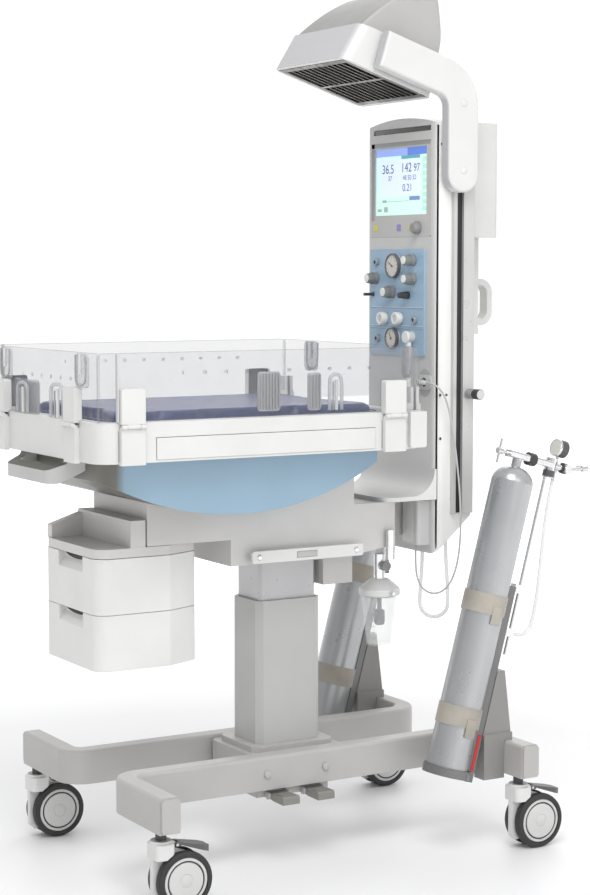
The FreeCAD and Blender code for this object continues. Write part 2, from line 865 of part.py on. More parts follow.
def carrier_beam():
    """The beam with its head block, rear block, neck and the saddle under the keel."""
    beam = box(-BEAM_X, BEAM_X, BEAM_Y0, BEAM_Y1, BEAM_Z0, BEAM_Z1)
    head = box(-BEAM_X, BEAM_X, HEAD_Y0, HEAD_Y1, HEAD_Z0, BEAM_Z0)
    rear = prism_x(
        [
            (HEAD_Y1, HEAD_Z0),
            (BEAM_Y1 - REAR_NOSE, REAR_BLOCK_Z0),
            (BEAM_Y1, REAR_BLOCK_Z0 + REAR_NOSE),
            (BEAM_Y1, BEAM_Z0),
            (HEAD_Y1, BEAM_Z0),
        ],
        -BEAM_X,
        BEAM_X,
    )
    motor = box(-MOTOR_X, MOTOR_X, SLEEVE_Y1 + TUBE_WALL, MOTOR_Y1, MOTOR_Z0, BEAM_Z0)
    neck = box(NECK_X0, NECK_X1, BEAM_Y1 - 1.0, CON_Y0, NECK_Z0, BEAM_Z1)
    saddle = box(-BEAM_X, BEAM_X, BEAM_Y0, SADDLE_Y1, BEAM_Z1, SADDLE_TOP_Z)
    saddle = saddle.cut(tilt_disc(KEEL_R + TOUCH, -BEAM_X - 1.0, BEAM_X + 1.0))
    saddle = saddle.Solids[0] if len(saddle.Solids) == 1 else Part.makeCompound(saddle.Solids)
    body = fuse([beam, head, rear, motor, neck])
    return fuse([body] + list(saddle.Solids))


def carrier_front():
    """The cover across the beam's front and the cheek on the far side."""
    cover = box(-BEAM_X, BEAM_X, COVER_Y0, COVER_Y1, CHEEK_Z0, COVER_TOP_Z)
    lip = box(-BEAM_X + 8.0, BEAM_X - 8.0, COVER_Y1 - 1.0, BEAM_Y0, CHEEK_Z0 + 4.0, COVER_TOP_Z - 4.0)
    cheek = prism_x(
        [
            (CHEEK_Y0, CHEEK_Z0),
            (CHEEK_Y0, CHEEK_NOSE_Z),
            (COVER_Y0 + 20.0, COVER_TOP_Z),
            (COVER_Y0 + 20.0, CHEEK_Z0),
        ],
        -BEAM_X,
        -BEAM_X + CHEEK_T,
    )
    return fuse([cover, lip, cheek])


def drawer_outline(inset):
    """The drawer's plan: square front, straight sides, bevelled back."""
    x = DRAWER_X - inset
    back_x = DRAWER_BACK_X - inset * 0.4
    return [
        (-x, DRAWER_Y0 + inset),
        (x, DRAWER_Y0 + inset),
        (x, DRAWER_SIDE_Y - inset * 0.4),
        (back_x, DRAWER_BACK_Y - inset),
        (-back_x, DRAWER_BACK_Y - inset),
        (-x, DRAWER_SIDE_Y - inset * 0.4),
    ]


def drawer_block(inset, radius, z0, z1):
    """A block of the drawer's plan with rounded front corners."""
    block = prism_z(drawer_outline(inset), z0, z1)
    block = rounded(block, Z_AXIS, DRAWER_BACK_R - inset, lambda p: p.y > DRAWER_BACK_Y - inset - 1.0)
    front = DRAWER_Y0 + inset + 1.0
    far_radius = radius - DRAWER_FRONT_R + DRAWER_FAR_R
    block = rounded(block, Z_AXIS, far_radius, lambda p: p.y < front and p.x < 0)
    return rounded(block, Z_AXIS, radius, lambda p: p.y < front and p.x > 0)


DRAWER_TOP_Z = DRAWER_LOW_Z + 2.0 * DRAWER_H + DRAWER_GAP


def drawer_mount():
    """The plate over the drawers with the post that they swing on."""
    plate_z = DRAWER_TOP_Z + DRAWER_GAP
    plate = drawer_block(1.0, DRAWER_FRONT_R, plate_z, CHEEK_Z0)
    post = rod(V(0, DRAWER_POST_Y, DRAWER_LOW_Z - 4.0), Z_AXIS, DRAWER_POST_R, plate_z - DRAWER_LOW_Z + 5.0)
    nut = rod(V(0, DRAWER_POST_Y, DRAWER_LOW_Z - 10.0), Z_AXIS, DRAWER_BOSS_R, 10.0 - DRAWER_GAP)
    return fuse([plate, post, nut])


def drawer(z0):
    """One swivel drawer: an open box with a post boss and a pull scoop."""
    z1 = z0 + DRAWER_H
    body = drawer_block(0, DRAWER_FRONT_R, z0, z1)
    room = drawer_block(DRAWER_WALL, DRAWER_FRONT_R - DRAWER_WALL, z0 + DRAWER_WALL, z1 + 1.0)
    boss = rod(V(0, DRAWER_POST_Y, z0), Z_AXIS, DRAWER_BOSS_R, DRAWER_H)
    half = SCOOP_W / 2.0
    front = DRAWER_Y0 + DRAWER_WALL
    scoop_shell = prism_x(
        [
            (front - 1.0, z1),
            (front + SCOOP_DEEP, z1),
            (front + SCOOP_DEEP, z1 - SCOOP_H * 0.4),
            (front - 1.0, z1 - SCOOP_H - SCOOP_FLOOR_T * 2.0),
        ],
        -half - SCOOP_FLOOR_T,
        half + SCOOP_FLOOR_T,
    )
    scoop = prism_x(
        [
            (DRAWER_Y0 - 1.0, z1 + 1.0),
            (front + SCOOP_DEEP - SCOOP_FLOOR_T, z1 + 1.0),
            (front + SCOOP_DEEP - SCOOP_FLOOR_T, z1 - SCOOP_H * 0.4),
            (DRAWER_Y0 - 1.0, z1 - SCOOP_H),
        ],
        -half,
        half,
    )
    body = fuse([body.cut(room), boss, scoop_shell.common(drawer_block(0, DRAWER_FRONT_R, z0, z1))])
    bore = rod(V(0, DRAWER_POST_Y, z0 - 1.0), Z_AXIS, DRAWER_POST_R + RUNNING, DRAWER_H + 2.0)
    return body.cut(scoop).cut(bore)


def make_carrier():
    """Carrier, accessory rail and drawers."""
    write("carrier_beam", carrier_beam(), carrier_front(), drawer_mount())
    write("drawer_lower", drawer(DRAWER_LOW_Z))
    write("drawer_upper", drawer(DRAWER_LOW_Z + DRAWER_H + DRAWER_GAP))
    bar_x = BEAM_X + ACC_GAP
    bar = box(bar_x, bar_x + ACC_T, ACC_Y0, ACC_Y1, ACC_Z0, ACC_Z1)
    bar = rounded(bar, X_AXIS, 5.0)
    pieces = [bar]
    mid_z = (ACC_Z0 + ACC_Z1) / 2.0
    for y in (ACC_Y0 + ACC_POST_INSET, ACC_Y1 - ACC_POST_INSET - (ACC_Y1 - HEAD_Y1)):
        pieces.append(rod(V(BEAM_X, y, mid_z), X_AXIS, ACC_POST_R, ACC_GAP + 1.0))
    for y in (ACC_Y0 + ACC_POST_INSET, ACC_Y1 - ACC_POST_INSET):
        pieces.append(rod(V(bar_x, y, mid_z), X_AXIS, ACC_SCREW_R, ACC_T + ACC_SCREW_T))
    write("accessory_rail", fuse(pieces))


# Bassinet

def keel_block(inset, top_z):
    """A block of the keel's plan, with round front corners."""
    block = box(
        -KEEL_X + inset, KEEL_X - inset, KEEL_Y0 + inset, KEEL_Y1 - inset,
        TRAY_Z0 - KEEL_REACH, top_z,
    )
    return rounded(block, Z_AXIS, KEEL_CORNER_R - inset, lambda p: p.y < KEEL_Y0 + inset + 1.0)


def keel():
    """The arc pan under the tray."""
    block = keel_block(0, TRAY_Z0)
    pan = block.common(tilt_disc(KEEL_R, -KEEL_X - 1.0, KEEL_X + 1.0))
    hollow = keel_block(KEEL_WALL, TRAY_Z0 + 1.0)
    hollow = hollow.common(tilt_disc(KEEL_R - KEEL_WALL, -KEEL_X, KEEL_X))
    return pan.cut(hollow)


def hinge_low_side(y, side):
    """The hinge block on the tray's side, with two end barrels and the pin."""
    x0, x1 = sorted((side * TRAY_X, side * (TRAY_X + HINGE_LOW_T)))
    axis_x = side * (TRAY_X + HINGE_AXIS_OUT)
    y0 = y - HINGE_W / 2.0
    block = box(x0, x1, y0, y0 + HINGE_W, TRAY_Z0 - 3.0, HINGE_AXIS_Z - HINGE_BARREL_R - HINGE_PLAY)
    pieces = [block]
    neck_x0, neck_x1 = sorted((side * (TRAY_X + 4.0), axis_x))
    for end in (y0, y0 + HINGE_W - HINGE_END_W):
        pieces.append(rod(V(axis_x, end, HINGE_AXIS_Z), Y_AXIS, HINGE_BARREL_R, HINGE_END_W))
        pieces.append(box(
            neck_x0, neck_x1, end, end + HINGE_END_W,
            HINGE_AXIS_Z - HINGE_BARREL_R - 2.0, HINGE_AXIS_Z,
        ))
    pieces.append(rod(V(axis_x, y0 + 2.0, HINGE_AXIS_Z), Y_AXIS, HINGE_PIN_R, HINGE_W - 4.0))
    return fuse(pieces)


def hinge_high_side(y, side):
    """The hinge block that a side panel carries, with the middle barrel."""
    axis_x = side * (TRAY_X + HINGE_AXIS_OUT)
    x0, x1 = sorted((side * PANEL_OUT, side * (PANEL_OUT + HINGE_HIGH_T)))
    y0 = y - HINGE_W / 2.0
    base_z = HINGE_AXIS_Z + HINGE_BARREL_R + HINGE_PLAY
    block = box(x0, x1, y0, y0 + HINGE_W, base_z, HINGE_TOP_Z)
    block = rounded(block, X_AXIS, 5.0, lambda p: p.z > HINGE_TOP_Z - 1.0)
    rim_x0, rim_x1 = sorted((0, side * (TRAY_X + TOUCH)))
    block = block.cut(box(rim_x0, rim_x1, y0 - 1.0, y0 + HINGE_W + 1.0, base_z - 1.0, TRAY_Z1 + PANEL_LIFT))
    mid0 = y0 + HINGE_END_W + HINGE_PLAY
    mid_w = HINGE_W - 2.0 * (HINGE_END_W + HINGE_PLAY)
    barrel = rod(V(axis_x, mid0, HINGE_AXIS_Z), Y_AXIS, HINGE_BARREL_R, mid_w)
    neck_x0, neck_x1 = sorted((axis_x - side * HINGE_BARREL_R, axis_x - side * 1.0))
    neck = box(neck_x0, neck_x1, mid0, mid0 + mid_w, HINGE_AXIS_Z, base_z + 2.0)
    bore = rod(V(axis_x, y0, HINGE_AXIS_Z), Y_AXIS, HINGE_PIN_R + RUNNING, HINGE_W)
    return fuse([block, barrel, neck]).cut(bore)


def turn_to_front(shape, x):
    """Move a near-side hinge made at y = 0 to the foot end of the tray."""
    turned = shape.copy()
    turned.rotate(V(0, 0, 0), Z_AXIS, -90)
    turned.translate(V(x, TRAY_Y0 + TRAY_X, 0))
    return turned


def tray():
    """The tray: rim, mattress deck, cassette slot, hinge and corner blocks."""
    body = box(-TRAY_X, TRAY_X, TRAY_Y0, TRAY_Y1, TRAY_Z0, TRAY_Z1)
    body = rounded(body, Z_AXIS, TRAY_CORNER_R)
    well = box(
        -TRAY_X + TRAY_RIM, TRAY_X - TRAY_RIM, TRAY_Y0 + TRAY_RIM, TRAY_Y1 - TRAY_RIM,
        TRAY_DECK_Z, TRAY_Z1 + 1.0,
    )
    well = rounded(well, Z_AXIS, TRAY_CORNER_R)
    slot = box(
        CASSETTE_FAR_X - CASSETTE_PLAY, TRAY_X + 1.0,
        CASSETTE_Y0 - CASSETTE_PLAY, CASSETTE_Y1 + CASSETTE_PLAY,
        CASSETTE_Z0, CASSETTE_Z1 + CASSETTE_PLAY,
    )
    pieces = [body.cut(well).cut(slot)]
    for side in (-1, 1):
        for y in SIDE_HINGE_Y:
            pieces.append(hinge_low_side(y, side))
        x0, x1 = sorted((side * (TRAY_X - TRAY_RIM), side * (TRAY_X + HINGE_LOW_T)))
        corner = box(x0, x1, CORNER_BLOCK_Y0, TRAY_Y1, TRAY_Z0 + 3.0, CORNER_BLOCK_Z1)
        corner = rounded(corner, X_AXIS, 6.0)
        room_x0, room_x1 = sorted((
            side * (PANEL_OUT - PANEL_T - PANEL_END_GAP), side * (TRAY_X + HINGE_LOW_T + 1.0),
        ))
        room = box(room_x0, room_x1, CORNER_BLOCK_Y0 - 1.0, TRAY_Y1 + 1.0, TRAY_Z1, CORNER_BLOCK_Z1 + 1.0)
        post_x0, post_x1 = sorted((
            side * (TRAY_X - TRAY_RIM), side * (PANEL_OUT - PANEL_T - PANEL_END_GAP),
        ))
        post = box(
            post_x0, post_x1, PANEL_REAR_Y - GUIDE_T, PANEL_REAR_Y + PANEL_T + GUIDE_T,
            TRAY_Z1 - 2.0, GUIDE_Z1,
        )
        gap = box(
            -TRAY_X, TRAY_X, PANEL_REAR_Y - SLIDING, PANEL_REAR_Y + PANEL_T + SLIDING,
            TRAY_Z1 + PANEL_LIFT - TOUCH, GUIDE_Z1 + 1.0,
        )
        pieces.append(fuse([corner.cut(room), post]).cut(gap))
    for x in FRONT_HINGE_X:
        pieces.append(turn_to_front(hinge_low_side(0, 1), x))
    return fuse(pieces)


def cassette_tray():
    """The flat drawer under the mattress, open on top."""
    body = box(
        CASSETTE_FAR_X, TRAY_X - CASSETTE_FRONT_T, CASSETTE_Y0, CASSETTE_Y1,
        CASSETTE_Z0 + TOUCH, CASSETTE_Z1 - 4.0,
    )
    room = box(
        CASSETTE_FAR_X + CASSETTE_WALL, TRAY_X - CASSETTE_FRONT_T - CASSETTE_WALL,
        CASSETTE_Y0 + CASSETTE_WALL, CASSETTE_Y1 - CASSETTE_WALL,
        CASSETTE_Z0 + TOUCH + CASSETTE_FLOOR_T, CASSETTE_Z1,
    )
    face = box(
        TRAY_X - CASSETTE_FRONT_T, TRAY_X + 1.5, CASSETTE_Y0, CASSETTE_Y1,
        CASSETTE_Z0 + TOUCH, CASSETTE_Z1,
    )
    return fuse([body.cut(room), face])


def mattress():
    """The mattress, a plain pad."""
    pad = box(
        -MATTRESS_X, MATTRESS_X, MATTRESS_Y0, MATTRESS_Y1, TRAY_DECK_Z, TRAY_DECK_Z + MATTRESS_T,
    )
    pad = rounded(pad, Z_AXIS, MATTRESS_CORNER_R)
    rims = [e for e in pad.Edges if abs(e.BoundBox.ZMin - e.BoundBox.ZMax) < 0.01]
    return pad.makeFillet(8.0, rims)


PANEL_Z0 = TRAY_Z1 + PANEL_LIFT
PANEL_END_Y = PANEL_REAR_Y + PANEL_T + 2.0 * PANEL_LIFT


def side_panel(side):
    """A long clear panel with the two hinge blocks it carries."""
    x0, x1 = sorted((side * (PANEL_OUT - PANEL_T), side * PANEL_OUT))
    sheet = box(x0, x1, PANEL_FRONT_Y - PANEL_LIFT, PANEL_END_Y, PANEL_Z0, PANEL_TOP_Z)
    sheet = rounded(sheet, X_AXIS, 12.0, lambda p: p.z > PANEL_TOP_Z - 1.0)
    return [sheet] + [hinge_high_side(y, side) for y in SIDE_HINGE_Y]


def end_panel(y0, top_z):
    """A short clear panel between the long ones."""
    half = PANEL_OUT - PANEL_T - PANEL_END_GAP
    sheet = box(-half, half, y0, y0 + PANEL_T, PANEL_Z0, top_z)
    return rounded(sheet, Y_AXIS, 10.0, lambda p: p.z > top_z - 1.0)


def handle_profile():
    """The push handle's side view: a level bar whose arms rise to the tray."""
    top = HANDLE_Z0 + HANDLE_T
    return [
        (HANDLE_Y0, HANDLE_Z0),
        (HANDLE_Y0, top),
        (HANDLE_ROOT_Y, top + HANDLE_RISE * 0.8),
        (HANDLE_ROOT_Y + HANDLE_RISE * 0.5, TRAY_Z0),
        (HANDLE_Y1, TRAY_Z0),
        (HANDLE_Y1, HANDLE_Z0 + HANDLE_T),
        (HANDLE_ROOT_Y, HANDLE_Z0 + HANDLE_RISE * 0.4),
        (HANDLE_Y0 + HANDLE_BAR, HANDLE_Z0),
    ]


def push_handle():
    """A loop under the foot end: a grip bar between two arms that rise to the tray."""
    top = TRAY_Z0 + 1.0
    outer = [
        (-HANDLE_FRONT_X, HANDLE_Y0), (HANDLE_FRONT_X, HANDLE_Y0),
        (HANDLE_BACK_X, HANDLE_Y1), (-HANDLE_BACK_X, HANDLE_Y1),
    ]
    inner_front = HANDLE_FRONT_X - HANDLE_ARM * 0.7
    inner_back = HANDLE_BACK_X - HANDLE_ARM
    inner = [
        (-inner_front, HANDLE_Y0 + HANDLE_BAR), (inner_front, HANDLE_Y0 + HANDLE_BAR),
        (inner_back, HANDLE_Y1 + 1.0), (-inner_back, HANDLE_Y1 + 1.0),
    ]
    plan = prism_z(outer, HANDLE_Z0, top)
    plan = rounded(plan, Z_AXIS, HANDLE_CORNER_R, lambda p: p.y < HANDLE_Y0 + 1.0)
    hole = prism_z(inner, HANDLE_Z0 - 1.0, top + 1.0)
    hole = rounded(hole, Z_AXIS, HANDLE_CORNER_R / 2.0, lambda p: p.y < HANDLE_Y0 + HANDLE_BAR + 1.0)
    side_view = prism_x(handle_profile(), -HANDLE_BACK_X - 1.0, HANDLE_BACK_X + 1.0)
    return plan.cut(hole).common(side_view)


def make_bassinet():
    """Keel, tray, cassette tray, mattress, panels and push handle."""
    write("bed_keel", keel())
    write("bed_tray", tray())
    write("cassette_tray", cassette_tray())
    write("mattress", mattress())
    write("panel_near", *side_panel(1))
    write("panel_far", *side_panel(-1))
    front = [end_panel(PANEL_FRONT_Y, PANEL_TOP_Z)]
    for x in FRONT_HINGE_X:
        front.append(turn_to_front(hinge_high_side(0, 1), x))
    write("panel_front", *front)
    write("panel_rear", end_panel(PANEL_REAR_Y, PANEL_TOP_Z))
    write("push_handle", push_handle())


# Console

def console_outline(inset):
    """The console's front view: straight sides and a crowned top."""
    x = CON_X - inset
    side_top = CON_TOP_Z - inset
    start = V(-x, 0, CON_LOW_Z)
    low_right = V(x, 0, CON_LOW_Z)
    top_right = V(x, 0, side_top)
    crown = V(0, 0, side_top + CON_CROWN)
    top_left = V(-x, 0, side_top)
    edges = [
        Part.LineSegment(start, low_right).toShape(),
        Part.LineSegment(low_right, top_right).toShape(),
        Part.Arc(top_right, crown, top_left).toShape(),
        Part.LineSegment(top_left, start).toShape(),
    ]
    return Part.Face(Part.Wire(edges))


def console_block(inset, y0, y1):
    """The console's outline pushed from front to back, with a slanted foot."""
    block = console_outline(inset).extrude(V(0, y1 - y0, 0))
    block.translate(V(0, y0, 0))
    slope = (CON_LOW_BACK_Z - CON_LOW_Z) / (CON_Y1 - CON_Y0)
    low = 1.2 * inset
    wedge = prism_x(
        [
            (CON_Y0 - 10.0, CON_LOW_Z - 100.0),
            (CON_Y0 - 10.0, CON_LOW_Z - 10.0 * slope + low),
            (CON_Y1 + 10.0, CON_LOW_BACK_Z + 10.0 * slope + low),
            (CON_Y1 + 10.0, CON_LOW_Z - 100.0),
        ],
        -CON_X - 10.0,
        CON_X + 10.0,
    )
    return block.cut(wedge)


def console_foot():
    """The cove that runs forward from the console on to the carrier."""
    arc_y = CON_Y0 - COVE_R
    arc_z = FOOT_TOP_Z + COVE_R
    start = V(-FOOT_X, CON_Y0 + CON_WALL, BEAM_Z1)
    front_low = V(-FOOT_X, FOOT_Y0, BEAM_Z1)
    front_top = V(-FOOT_X, FOOT_Y0, FOOT_TOP_Z)
    arc_start = V(-FOOT_X, arc_y, FOOT_TOP_Z)
    middle = V(
        -FOOT_X,
        arc_y + COVE_R * math.sin(math.radians(45)),
        arc_z - COVE_R * math.cos(math.radians(45)),
    )
    arc_end = V(-FOOT_X, CON_Y0, arc_z)
    back_top = V(-FOOT_X, CON_Y0 + CON_WALL, arc_z)
    edges = [
        Part.LineSegment(start, front_low).toShape(),
        Part.LineSegment(front_low, front_top).toShape(),
        Part.LineSegment(front_top, arc_start).toShape(),
        Part.Arc(arc_start, middle, arc_end).toShape(),
        Part.LineSegment(arc_end, back_top).toShape(),
        Part.LineSegment(back_top, start).toShape(),
    ]
    foot = Part.Face(Part.Wire(edges)).extrude(V(2.0 * FOOT_X, 0, 0))
    return rounded(foot, Z_AXIS, FOOT_CORNER_R, lambda p: p.y < FOOT_Y0 + 1.0)


def console_shell():
    """The console's casing with its recesses for screen, lamp and gas panel."""
    outer = console_block(0, CON_Y0, CON_Y1)
    outer = outer.makeFillet(CON_EDGE_R, edges_along(outer, Z_AXIS, lambda p: p.y < CON_Y0 + 1.0))
    inside = console_block(CON_WALL, CON_Y0 + CON_WALL, CON_Y1 - CON_WALL)
    back = CON_Y0 + CON_WALL
    frame_x = DISP_X + SEAT_WALL
    frame = box(
        -frame_x, frame_x, back - 1.0, CON_Y0 + DISP_T + SEAT_WALL,
        DISP_Z0 - SEAT_WALL, DISP_Z1 + SEAT_WALL,
    )
    shafts = [(DIAL_X, DIAL_Z)] + [(x, z) for _, x, z, _ in KNOBS]
    bosses = [
        rod(V(x, back - 1.0, z), Y_AXIS, SHAFT_R + SHAFT_WALL, SHAFT_BITE + SEAT_WALL) for x, z in shafts
    ]
    shell = fuse([outer.cut(inside), frame] + bosses)
    shell = shell.cut(box(-DISP_X, DISP_X, CON_Y0 - 1.0, CON_Y0 + DISP_T, DISP_Z0, DISP_Z1))
    shell = shell.cut(box(
        LAMP_X0, LAMP_X1, CON_Y0 - 1.0, CON_Y0 + LAMP_DEPTH,
        LAMP_Z - LAMP_H / 2.0, LAMP_Z + LAMP_H / 2.0,
    ))
    for x, z in shafts:
        reach = SHAFT_BITE + TOUCH + 1.0
        shell = shell.cut(rod(V(x, CON_Y0 - 1.0, z), Y_AXIS, SHAFT_R + RUNNING, reach))
    return fuse([shell, console_foot()])


def track(side):
    """The side extrusion with its T-slot."""
    x0, x1 = sorted((side * CON_X, side * (CON_X + TRACK_T)))
    bar = box(x0, x1, TRACK_Y0, CON_Y1, TRACK_Z0, TRACK_Z1)
    mouth0, mouth1 = sorted((side * (CON_X + TRACK_T - SLOT_DEPTH), side * (CON_X + TRACK_T + 1.0)))
    mouth = box(mouth0, mouth1, SLOT_Y0, SLOT_Y1, TRACK_Z0 - 1.0, TRACK_Z1 + 1.0)
    wide0, wide1 = sorted((side * (CON_X + TRACK_T - SLOT_DEPTH), side * (CON_X + TRACK_T - SLOT_LIP)))
    wide = box(wide0, wide1, SLOT_Y0 - SLOT_WIDE, SLOT_Y1 + SLOT_WIDE, TRACK_Z0 - 1.0, TRACK_Z1 + 1.0)
    return bar.cut(mouth).cut(wide)


def front_knob(x, z, radius, length, face_y):
    """A round knob that stands out of a front panel, on its shaft."""
    start = V(x, face_y - KNOB_GAP, z)
    collar = rod(start, -Y_AXIS, radius, length * KNOB_TIP / 2.0)
    grip = Part.makeCone(radius, radius * KNOB_TIP, length, start, -Y_AXIS)
    tip = [e for e in grip.Edges if abs(e.CenterOfMass.y - (start.y - length)) < 0.01]
    grip = grip.makeFillet(min(2.0, radius / 4.0), [e for e in tip if e.Curve.TypeId == "Part::GeomCircle"])
    grip = fuse([grip, collar])
    shaft_len = CON_Y0 + SHAFT_BITE - start.y
    shaft = rod(start - Y_AXIS * 1.0, Y_AXIS, SHAFT_R, shaft_len + 1.0)
    return fuse([grip, shaft])


def make_display():
    """Bezel with lamps keys, screen glass and the rotary knob."""
    bezel = box(-DISP_X, DISP_X, CON_Y0 - 0.5, CON_Y0 + DISP_T, DISP_Z0, DISP_Z1)
    bezel = rounded(bezel, Y_AXIS, 6.0)
    window = box(-SCREEN_X, SCREEN_X, CON_Y0 - 2.0, CON_Y0 - 0.5 + SCREEN_SINK + SCREEN_T, SCREEN_Z0, SCREEN_Z1)
    shaft = rod(V(DIAL_X, CON_Y0 - 2.0, DIAL_Z), Y_AXIS, SHAFT_R + RUNNING, DISP_T + 4.0)
    bezel = bezel.cut(window).cut(shaft)
    glass = box(
        -SCREEN_X, SCREEN_X, CON_Y0 - 0.5 + SCREEN_SINK, CON_Y0 - 0.5 + SCREEN_SINK + SCREEN_T,
        SCREEN_Z0, SCREEN_Z1,
    )
    keys = [rod(V(x, CON_Y0 - 0.5, KEY_Z), -Y_AXIS, KEY_R, KEY_PROUD) for x in KEY_X]
    write("display_unit", bezel, glass, *keys)
    write("display_knob", front_knob(DIAL_X, DIAL_Z, DIAL_R, DIAL_LEN, CON_Y0 - 0.5))


GAS_FACE = CON_Y0 - GAS_T


def make_gas_panel():
    """The gas panel with its gauges, ports and capped outlets, the knobs and the toggle."""
    plate = box(GAS_X0, GAS_X1, GAS_FACE, CON_Y0, GAS_Z0, GAS_Z1)
    plate = rounded(plate, Y_AXIS, 4.0)
    ribs = []
    for z in GAS_RIB_Z:
        ribs.append(box(GAS_X0 + 4.0, GAS_X1 - 4.0, GAS_FACE - GAS_RIB_T, GAS_FACE + 1.0, z - 1.5, z + 1.5))
    plate = fuse([plate] + ribs)
    for x, z, radius in GAUGES:
        plate = plate.cut(rod(V(x, GAS_FACE, z), -Y_AXIS, radius + TOUCH, GAS_RIB_T + 1.0))
    for _, x, z, _ in KNOBS:
        plate = plate.cut(rod(V(x, GAS_FACE - 3.0, z), Y_AXIS, SHAFT_R + RUNNING, GAS_T + 6.0))
    slot_x = TOGGLE_BARREL_W / 2.0 + TOUCH
    slot_z = TOGGLE_BARREL_R + TOUCH
    plate = plate.cut(box(
        TOGGLE_X - slot_x, TOGGLE_X + slot_x, GAS_FACE - 1.0, CON_Y0 + 1.0,
        TOGGLE_Z - slot_z, TOGGLE_Z + slot_z,
    ))
    write("gas_panel", plate)
    for name, x, z, radius in KNOBS:
        write(name, front_knob(x, z, radius, KNOB_LEN, GAS_FACE))
    stick = rod(V(TOGGLE_X, GAS_FACE, TOGGLE_Z), -Y_AXIS, TOGGLE_R, TOGGLE_LEN)
    barrel = rod(
        V(TOGGLE_X - TOGGLE_BARREL_W / 2.0, GAS_FACE, TOGGLE_Z), X_AXIS, TOGGLE_BARREL_R, TOGGLE_BARREL_W,
    )
    write("gas_toggle", fuse([stick, barrel]))


def barb_end(x, y):
    """The tip of a hose barb under the console's slanted foot."""
    slope = (CON_LOW_BACK_Z - CON_LOW_Z) / (CON_Y1 - CON_Y0)
    return V(x, y, CON_LOW_Z + slope * (y - CON_Y0) - BARB_LEN)


def console_fittings():
    """Gauges, ports, connectors, the sensor box, the outlet tube and the hose barbs."""
    pieces = []
    for x, z, radius in GAUGES:
        pieces.append(rod(V(x, GAS_FACE, z), -Y_AXIS, radius, GAUGE_T))
    for x, z in PORTS:
        pieces.append(rod(V(x, GAS_FACE, z), -Y_AXIS, PORT_R, PORT_T))
    for x, z in CAPPED:
        pieces.append(rod(V(x, GAS_FACE, z), -Y_AXIS, CAPPED_R, CAPPED_T))
    outlet = rod(V(OUTLET_X, GAS_FACE, OUTLET_Z), -Y_AXIS, OUTLET_R, OUTLET_T)
    drop = rod(V(OUTLET_X, GAS_FACE - OUTLET_T / 2.0, DROP_LOW_Z), Z_AXIS, DROP_R, OUTLET_Z - DROP_LOW_Z)
    pieces.append(fuse([outlet, drop]))
    oval = box(
        OVAL_X - OVAL_HALF, OVAL_X + OVAL_HALF, CON_Y0 - 3.0, CON_Y0, OVAL_Z - OVAL_R, OVAL_Z + OVAL_R,
    )
    ends = [
        rod(V(OVAL_X + s * OVAL_HALF, CON_Y0, OVAL_Z), -Y_AXIS, OVAL_R, 3.0) for s in (-1, 1)
    ]
    socket = rod(V(OVAL_X, CON_Y0 - 2.0, OVAL_Z), -Y_AXIS, SOCKET_R, SOCKET_LEN)
    plug = rod(V(OVAL_X, PLUG_Y, OVAL_Z), X_AXIS, PLUG_R, PLUG_LEN)
    pieces.append(fuse([oval, socket, plug] + ends))
    sensor = box(SENSOR_X0, SENSOR_X1, CON_Y0 - SENSOR_T, CON_Y0, SENSOR_Z0, SENSOR_Z1)
    sensor = rounded(sensor, Z_AXIS, 8.0, lambda p: p.y < CON_Y0 - 1.0)
    pieces.append(sensor)
    pieces.append(rod(V(CON_X + TRACK_T, STUB_Y, STUB_Z), X_AXIS, STUB_R, STUB_LEN))
    for x, y in BARBS:
        end = barb_end(x, y)
        barb = rod(end, Z_AXIS, BARB_R, BARB_LEN + 2.0 * BARB_R)
        pieces.append(barb.cut(console_block(0, CON_Y0, CON_Y1)))
    return pieces


def rear_fittings():
    """The box behind the console's top and the grab handle below it."""
    case = box(-REAR_X, REAR_X, CON_Y1, REAR_Y1, REAR_Z0, REAR_Z1)
    case = rounded(case, Z_AXIS, REAR_EDGE_R, lambda p: p.y > REAR_Y1 - 1.0)
    core = box(
        -REAR_X + 4.0, REAR_X - 4.0, CON_Y1 + 4.0, REAR_Y1 - 4.0, REAR_Z0 + 4.0, REAR_Z1 - 4.0,
    )
    spine = box(-GRAB_W, GRAB_W, CON_Y1, GRAB_PLATE_Y1, GRAB_Z0 - 20.0, REAR_Z0)
    spine_core = box(
        -GRAB_W + 4.0, GRAB_W - 4.0, CON_Y1 + 4.0, GRAB_PLATE_Y1 - 4.0, GRAB_Z0 - 16.0, REAR_Z0 - 4.0,
    )
    span = GRAB_Z1 - GRAB_Z0
    loop = box(
        GRAB_X - GRAB_W / 2.0, GRAB_X + GRAB_W / 2.0, GRAB_PLATE_Y1, GRAB_Y1, GRAB_Z0, GRAB_Z1,
    )
    loop = rounded(loop, X_AXIS, span * 0.3, lambda p: p.y > GRAB_Y1 - 1.0)
    hole = box(
        GRAB_X - GRAB_W, GRAB_X + GRAB_W, GRAB_PLATE_Y1, GRAB_Y1 - GRAB_T,
        GRAB_Z0 + GRAB_T, GRAB_Z1 - GRAB_T,
    )
    hole = rounded(hole, X_AXIS, span * 0.2, lambda p: p.y > GRAB_Y1 - GRAB_T - 1.0)
    return [fuse([case.cut(core), spine.cut(spine_core)]), loop.cut(hole)]


# Hood

def lean(shape):
    """Turn a shape made in the hood's own frame into place."""
    placed = shape.copy()
    placed.rotate(V(0, 0, 0), X_AXIS, -HOOD_LEAN)
    placed.translate(V(0, HOOD_Y, HOOD_Z))
    return placed


